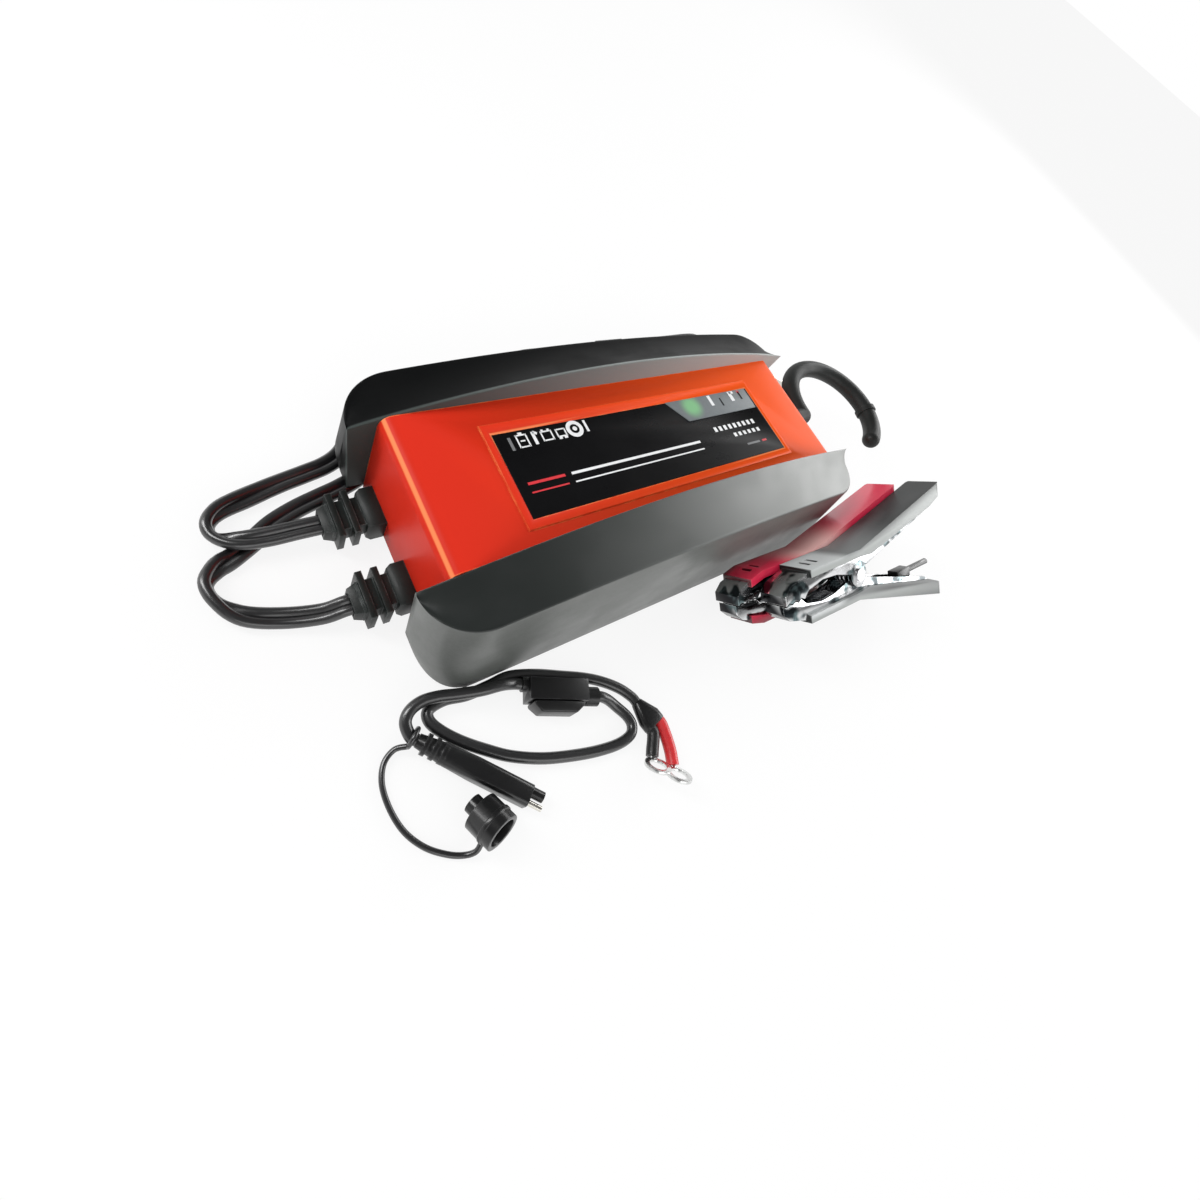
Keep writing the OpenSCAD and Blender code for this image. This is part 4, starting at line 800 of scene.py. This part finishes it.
round_cable("harness_tail_cable", TAIL_POINTS, HARNESS_D, ("harness_tail",))
round_cable("harness_loop_cable", LOOP_POINTS, HARNESS_D, ("harness_loop",))
round_cable("cap_tether_cord", TETHER_POINTS, TETHER_D, ())

# The tether ends in a ring round the cable, beside the quick plug.
RING_R, RING_ROD_R = 2.5, TETHER_D / 2 - 0.1
bm = bmesh.new()
bmesh.ops.create_circle(bm, cap_ends=False, segments=16, radius=RING_ROD_R * MM,
                        matrix=shifted(RING_R, 0, 0) @ Matrix.Rotation(math.pi / 2, 4, "X"))
bmesh.ops.spin(bm, geom=bm.verts[:] + bm.edges[:], cent=(0, 0, 0), axis=(0, 0, 1), angle=math.tau,
               steps=40, use_merge=True)
bmesh.ops.remove_doubles(bm, verts=bm.verts, dist=1e-6)
bmesh.ops.recalc_face_normals(bm, faces=bm.faces)
bm.transform(shifted(-97.35, -52.85, 3.35) @ turned(0, 90, -50.7))
settle("cap_tether_ring", bm, "cord", stands_for=("cap_tether",))


# ---- rails ---------------------------------------------------------------------------
RAIL_L, RAIL_Y, WALL_Y, RAIL_DRAFT = 184.4, 24.8, 46.3, 5.1
NOSE_R, NOSE_PULL, FOOT_Z = 16, 3.4, 2
CREST_X, CREST_H, LEFT_FALL, RIGHT_FALL = 5, 48.8, (13.5, 97), (8.8, 87)
EDGE_H, EDGE_FALL = 41.7, (5.9, 90)
DIP_DEPTH = 1.05
RAIL_STATIONS = 110


def into_nose(x):
    """How far x is past the start of the rounded nose."""
    return max(0, abs(x) - (RAIL_L / 2 - NOSE_R))


def nose_in(x):
    """How far the nose takes the outer wall in at x."""
    return NOSE_R - math.sqrt(max(0, NOSE_R ** 2 - into_nose(x) ** 2))


def crest_z(x):
    """Height of the long arched inner edge, which falls further on the left."""
    drop, reach = LEFT_FALL if x < CREST_X else RIGHT_FALL
    return CREST_H - drop * ((x - CREST_X) / reach) ** 2


def rounded_corner(a, b, c, r, n=4):
    """Points that take the corner b of a, b, c off with a curve that starts r before it."""
    back, on = unit(a - b), unit(c - b)
    r = min(r, 0.45 * (a - b).length, 0.45 * (c - b).length)
    p, q = b + back * r, b + on * r
    return [p * (1 - t) ** 2 + b * 2 * t * (1 - t) + q * t * t for t in (k / n for k in range(n + 1))]


def rail_section(x):
    """Outline of the rail at x, as points in millimetres: inner wall, dished top and outer wall."""
    c = nose_in(x)
    yo = max(RAIL_Y + 1.2, WALL_Y - c)
    ye = max(RAIL_Y + 0.8, WALL_Y - RAIL_DRAFT - c)
    zc = crest_z(x)
    ze = min(EDGE_H - EDGE_FALL[0] * (x / EDGE_FALL[1]) ** 2, zc - 0.3)
    pull = NOSE_PULL * (into_nose(x) / NOSE_R) ** 2 * math.copysign(1, x)
    foot_in, crest = Vector((x - pull, RAIL_Y, FOOT_Z)), Vector((x, RAIL_Y, zc))
    edge, foot_out = Vector((x, ye, ze)), Vector((x - pull, yo, FOOT_Z))
    knee = Vector((x - pull * 0.3, ye + (yo - ye) * 0.75, FOOT_Z + 10))
    dip = [
        crest.lerp(edge, u) - Vector((0, 0, DIP_DEPTH * math.sin(math.pi * u) ** 0.8))
        for u in (0.12, 0.25, 0.38, 0.5, 0.62, 0.75, 0.88)
    ]
    wall_high = edge.lerp(knee, 0.35)
    return (
        rounded_corner(foot_out, foot_in, crest, 0.8, 2)
        + [foot_in.lerp(crest, 0.5)]
        + rounded_corner(foot_in, crest, dip[0], 0.7, 4)
        + dip
        + rounded_corner(dip[-1], edge, wall_high, 1.1, 5)
        + [wall_high, edge.lerp(knee, 0.68), knee, knee.lerp(foot_out, 0.5)]
        + rounded_corner(knee, foot_out, foot_in, 0.9, 3)
    )


def rail_mesh():
    """The far rail, with its stations closer together towards the noses."""
    turns = [math.pi * i / RAIL_STATIONS for i in range(RAIL_STATIONS + 1)]
    return loft([rail_section(-math.cos(a) * RAIL_L / 2) for a in turns])


# Plan of the channel in the far rail's foot that both leads pass through.
CHANNEL_LOW, CHANNEL_H = 1, 2.7
CHANNEL = [
    (-97, 20), (-97, 39.4), (-90, 39.4), (-87, 42), (-84.6, 47), (-83, 53), (-59, 53), (-61, 46), (-65, 39),
    (-70, 33.4), (-76, 28.6), (-84, 24.4), (-88, 20),
]


def cut_away(piece, cutter_bm):
    """Takes the cutter's volume off the piece, and leaves a plain mesh."""
    mesh = bpy.data.meshes.new("cutter")
    cutter_bm.to_mesh(mesh)
    cutter_bm.free()
    cutter = bpy.data.objects.new("cutter", mesh)
    bpy.context.scene.collection.objects.link(cutter)
    cut = piece.modifiers.new("cut", "BOOLEAN")
    cut.operation, cut.solver, cut.object = "DIFFERENCE", "EXACT", cutter
    done = bpy.data.meshes.new_from_object(piece.evaluated_get(bpy.context.evaluated_depsgraph_get()))
    piece.modifiers.clear()
    old, piece.data = piece.data, done
    piece.data.name = piece.name
    bpy.data.meshes.remove(old)
    bpy.data.objects.remove(cutter)
    bpy.data.meshes.remove(mesh)
    piece.data.set_sharp_from_angle(angle=math.radians(SHARP))


def channel_mesh():
    bm = bmesh.new()
    foot = [bm.verts.new((x * MM, y * MM, CHANNEL_LOW * MM)) for x, y in CHANNEL]
    bmesh.ops.contextual_create(bm, geom=foot)
    lifted = bmesh.ops.extrude_face_region(bm, geom=bm.faces[:])["geom"]
    lifted = [g for g in lifted if isinstance(g, bmesh.types.BMVert)]
    bmesh.ops.translate(bm, vec=(0, 0, CHANNEL_H * MM), verts=lifted)
    bmesh.ops.recalc_face_normals(bm, faces=bm.faces)
    return bm


far_rail = settle("far_rail_shell", rail_mesh(), "rail_black", stands_for=("far_rail",))
cut_away(far_rail, channel_mesh())
bm = rail_mesh()
bmesh.ops.scale(bm, vec=(1, -1, 1), verts=bm.verts)
bmesh.ops.recalc_face_normals(bm, faces=bm.faces)
settle("near_rail_shell", bm, "rail_grey", stands_for=("near_rail",))


# ---- case and reliefs -------------------------------------------------------------
PAD_X, PAD_Y, PAD_HALF_L, PAD_HALF_W, PAD_FOOT_Z = 1.5, -1.4, 59.5, 18, 39
NEAR = 0.05


def on_pad(a, b):
    """The upper edges of the raised pad round the label, and the foot of its wall."""
    at_wall = all(
        abs(abs(p.x - PAD_X) - PAD_HALF_L) < NEAR or abs(abs(p.y - PAD_Y) - PAD_HALF_W) < NEAR
        for p in (a, b)
    )
    return at_wall and min(a.z, b.z) > PAD_FOOT_Z


softened("top_cover", 0.5, 4, pick=on_pad)
softened("label_panel", 0.12, 1)
softened("indicator_window", 0.15)
softened("ac_strain_relief", 0.35)
softened("dc_strain_relief", 0.35)
softened("base_cover", 0.3)
softened("feet", 0.5)


# ---- print on the label -------------------------------------------------------------------
LABEL_TOP, WINDOW_TOP = 39.2, 39.4
MARK_T, MARK_SINK, LINE_W = 0.07, 0.02, 0.5
DISC_X, DISC_Y = -27.2, 9.3


def printed(name, blocks, finish, top, discs=()):
    """Flat marks that stand a hair proud of the surface at the height top.

    A block is x, y, length, width and turn, and a disc is x, y and radius.
    """
    bm = bmesh.new()
    for x, y, lx, ly, turn in blocks:
        boxed(bm, x, y, top - MARK_SINK, lx, ly, MARK_T, turn)
    for x, y, r in discs:
        bmesh.ops.create_cone(bm, cap_ends=True, segments=32, radius1=r * MM, radius2=r * MM,
                              depth=MARK_T * MM, matrix=shifted(x, y, top - MARK_SINK + MARK_T / 2))
    settle(name, bm, "label", finish=finish)


def outline_blocks(x, y, w, h):
    """Four thin blocks round a rectangle."""
    return [
        (x, y + h / 2, w, LINE_W, 0), (x, y - h / 2, w, LINE_W, 0),
        (x - w / 2, y, LINE_W, h + LINE_W, 0), (x + w / 2, y, LINE_W, h + LINE_W, 0),
    ]


printed("label_marks_grey", [(-50.8, 8.2, 1.0, 4.6, 0)], PRINT_GREY, LABEL_TOP)
printed(
    "label_marks_white",
    outline_blocks(-46.6, 8.6, 3.4, 4.2) + [(-46.6, 11.3, 1.4, 0.7, 0), (-46.6, 8.6, 1.6, 0.5, 0)]
    + [(-42.4, 8.8, 1.1, 4.6, 0), (-41.6, 10.6, 1.6, 0.9, -35)]
    + outline_blocks(-37.8, 8.8, 3.6, 3.2) + [(-38.9, 10.9, 0.8, 0.6, 0), (-36.7, 10.9, 0.8, 0.6, 0)]
    + outline_blocks(-32.6, 8.9, 3.2, 2.6) + [(-33.6, 7.0, 1.2, 0.7, 0), (-31.6, 7.0, 1.2, 0.7, 0)]
    + [(-22.6, 9.6, 0.9, 4.4, 0)],
    PRINT_WHITE, LABEL_TOP, discs=[(DISC_X, DISC_Y, 3.1)],
)
printed("label_disc_centre", [], FINISH["label"], LABEL_TOP + 0.06, discs=[(DISC_X, DISC_Y, 1.7)])
printed("label_disc_dot", [], PRINT_WHITE, LABEL_TOP + 0.12, discs=[(DISC_X, DISC_Y, 0.8)])
printed("label_stripe_white", [(-8.5, -5.6, 56, 0.9, 0), (-8.5, -8.6, 56, 0.5, 0)], PRINT_WHITE, LABEL_TOP)
printed("label_stripe_red", [(-45.4, -5.6, 13, 0.9, 0), (-45.4, -8.6, 13, 0.5, 0)], PRINT_RED, LABEL_TOP)
printed("label_scale", [(30 + 2.6 * k, -2.4, 1.4, 2.0, 0) for k in range(9)]
        + [(38 + 2.6 * k, -6.2, 1.4, 1.6, 0) for k in range(6)], PRINT_WHITE, LABEL_TOP)
printed("label_scale_red", [(50.6, -11.2, 2.4, 0.8, 0)], PRINT_RED, LABEL_TOP)
printed("label_scale_grey", [(44.4, -11.2, 7.0, 0.8, 0)], PRINT_GREY, LABEL_TOP)
printed("window_marks_white",
        [(36.2, 9.8, 1.5, 4.6, 0), (47.9, 10.0, 1.7, 4.4, 0), (49.0, 11.6, 2.2, 1.0, 0)],
        PRINT_WHITE, WINDOW_TOP)
printed("window_marks_dark", [(52.9, 9.7, 1.0, 3.6, 0), (41.4, 8.4, 0.7, 3.6, 0)],
        FINISH["label"], WINDOW_TOP)
printed("window_marks_red", [(52.9, 11.4, 1.3, 1.2, 0)], PRINT_RED, WINDOW_TOP)


# ---- clamps ---------------------------------------------------------------------------------
CLAMP_L, PIVOT_SHARE = 98, 0.42
PIVOT_X = PIVOT_SHARE * CLAMP_L
RED_PLACE = shifted(13.2, -58.1, 15.6) @ turned(-57, -1.5, -2.5)
CLAMP_PLACE = {"red": RED_PLACE, "black": RED_PLACE @ shifted(8, -13.9, 0)}
COIL_R, WIRE_D, TURNS, COIL_HALF = 3.1, 1.0, 2.5, 2.1
COIL_STEPS = 90
# Each leg's points from the coil outwards: how far past the pivot, and how far up or down.
LEG = [(7, 5.0), (13.5, 8.9), (20, 11.6)]
CLAMP_ROUNDING = {
    "upper_cover": (0.8, 3), "lower_cover": (0.6, 3), "upper_jaw": (0.25, 2), "lower_jaw": (0.25, 2),
}


def spring_line():
    """Upper leg, coil round the pivot and lower leg of a clamp's torsion spring."""
    upper = [(PIVOT_X + x, -COIL_HALF, z) for x, z in reversed(LEG)]
    coil = []
    for i in range(COIL_STEPS + 1):
        a = math.pi / 2 + math.tau * TURNS * i / COIL_STEPS
        y = COIL_HALF * (2 * i / COIL_STEPS - 1)
        coil.append((PIVOT_X + COIL_R * math.cos(a), y, COIL_R * math.sin(a)))
    return upper + coil + [(PIVOT_X + x, COIL_HALF, -z) for x, z in LEG]


for colour, place in CLAMP_PLACE.items():
    for part, (width, segments) in CLAMP_ROUNDING.items():
        softened(f"{colour}_{part}", width, segments)
    bm = sweep(spring_line(), round_section(WIRE_D, 10), across=Vector((0, 1, 0)))
    bm.transform(place)
    coil = settle(f"{colour}_torsion_spring", bm, "spring", body=None, stands_for=(f"{colour}_spring",),
                  sharp=SHARP_TUBE)
    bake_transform(coil)


# ---- floor, light and background --------------------------------------------------------------
FLOOR_HALF, FLOOR_DROP = 6, 0.0003
FLOOR_GREY, FLOOR_GLOW = 0.86, 0.86
ROOM_LIGHT = 0.6
# Each lamp's place, the point it faces and its size, in metres, and the brightness of its face.
LAMPS = {
    "end_softbox": ((0.85, -0.12, 0.36), (0.05, 0, 0.03), (1.0, 0.5), 4.2),
    "front_softbox": ((-0.15, -0.8, 0.5), (0, 0, 0.02), (0.8, 0.45), 1.7),
    "cord_softbox": ((-0.26, 0.16, 0.30), (-0.11, 0.0, 0.0), (0.10, 0.22), 7.0),
    "left_softbox": ((-0.6, 0.46, 0.5), (-0.06, 0, 0.02), (0.18, 0.55), 6.0),
}


def sees_background(tree):
    """1 for rays from the camera, off gloss and through glass, and 0 for those that only light things."""
    path = tree.nodes.new("ShaderNodeLightPath")
    seen = math_node(tree, "MAXIMUM", path.outputs["Is Camera Ray"], path.outputs["Is Glossy Ray"])
    return math_node(tree, "MAXIMUM", seen, path.outputs["Is Transmission Ray"])


def lay_floor():
    bm = bmesh.new()
    bmesh.ops.create_grid(bm, x_segments=1, y_segments=1, size=FLOOR_HALF)
    bmesh.ops.translate(bm, vec=(0, 0, -FLOOR_DROP), verts=bm.verts)
    mesh = bpy.data.meshes.new("floor")
    bm.to_mesh(mesh)
    bm.free()
    floor = bpy.data.objects.new("floor", mesh)
    bpy.context.scene.collection.objects.link(floor)
    material = bpy.data.materials.new("floor_white")
    material.use_nodes = True
    tree = material.node_tree
    shader = tree.nodes["Principled BSDF"]
    shader.inputs["Base Color"].default_value = (FLOOR_GREY, FLOOR_GREY, FLOOR_GREY, 1)
    shader.inputs["Roughness"].default_value = 0.9
    shader.inputs["Specular IOR Level"].default_value = 0.1
    glow = tree.nodes.new("ShaderNodeEmission")
    glow.inputs["Color"].default_value = (1, 1, 1, 1)
    mixer = tree.nodes.new("ShaderNodeMixShader")
    wire(tree, math_node(tree, "MULTIPLY", sees_background(tree), FLOOR_GLOW), mixer.inputs[0])
    wire(tree, shader.outputs[0], mixer.inputs[1])
    wire(tree, glow.outputs[0], mixer.inputs[2])
    wire(tree, mixer.outputs[0], tree.nodes["Material Output"].inputs["Surface"])
    mesh.materials.append(material)


def hang_lamp(name, place, target, size, radiance):
    """Square soft lamp with the given brightness of its face."""
    data = bpy.data.lights.new(name, "AREA")
    data.shape = "RECTANGLE"
    data.size, data.size_y = size
    data.energy = radiance * math.pi * size[0] * size[1]
    lamp = bpy.data.objects.new(name, data)
    lamp.location = place
    lamp.rotation_euler = (Vector(target) - Vector(place)).to_track_quat("-Z", "Y").to_euler()
    bpy.context.scene.collection.objects.link(lamp)


def light_room():
    """Even white light and a white background, which looks darker upwards in reflections."""
    world = bpy.data.worlds.new("room")
    bpy.context.scene.world = world
    world.use_nodes = True
    tree = world.node_tree
    background = tree.nodes["Background"]
    height = tree.nodes.new("ShaderNodeSeparateXYZ")
    wire(tree, tree.nodes.new("ShaderNodeTexCoord").outputs["Generated"], height.inputs[0])
    seen_dimmer = ramp_value(tree, height.outputs["Z"], 0.12, 0.55, 1.0, 0.16)
    path = tree.nodes.new("ShaderNodeLightPath")
    bright = ramp_value(tree, path.outputs["Is Camera Ray"], 0, 1, seen_dimmer, 1.0, smooth=False)
    strength = ramp_value(tree, sees_background(tree), 0, 1, ROOM_LIGHT, bright, smooth=False)
    wire(tree, strength, background.inputs["Strength"])
    background.inputs["Color"].default_value = (1, 1, 1, 1)
    for name, (place, target, size, radiance) in LAMPS.items():
        hang_lamp(name, place, target, size, radiance)


lay_floor()
light_room()
bpy.context.scene.view_settings.view_transform = "Standard"
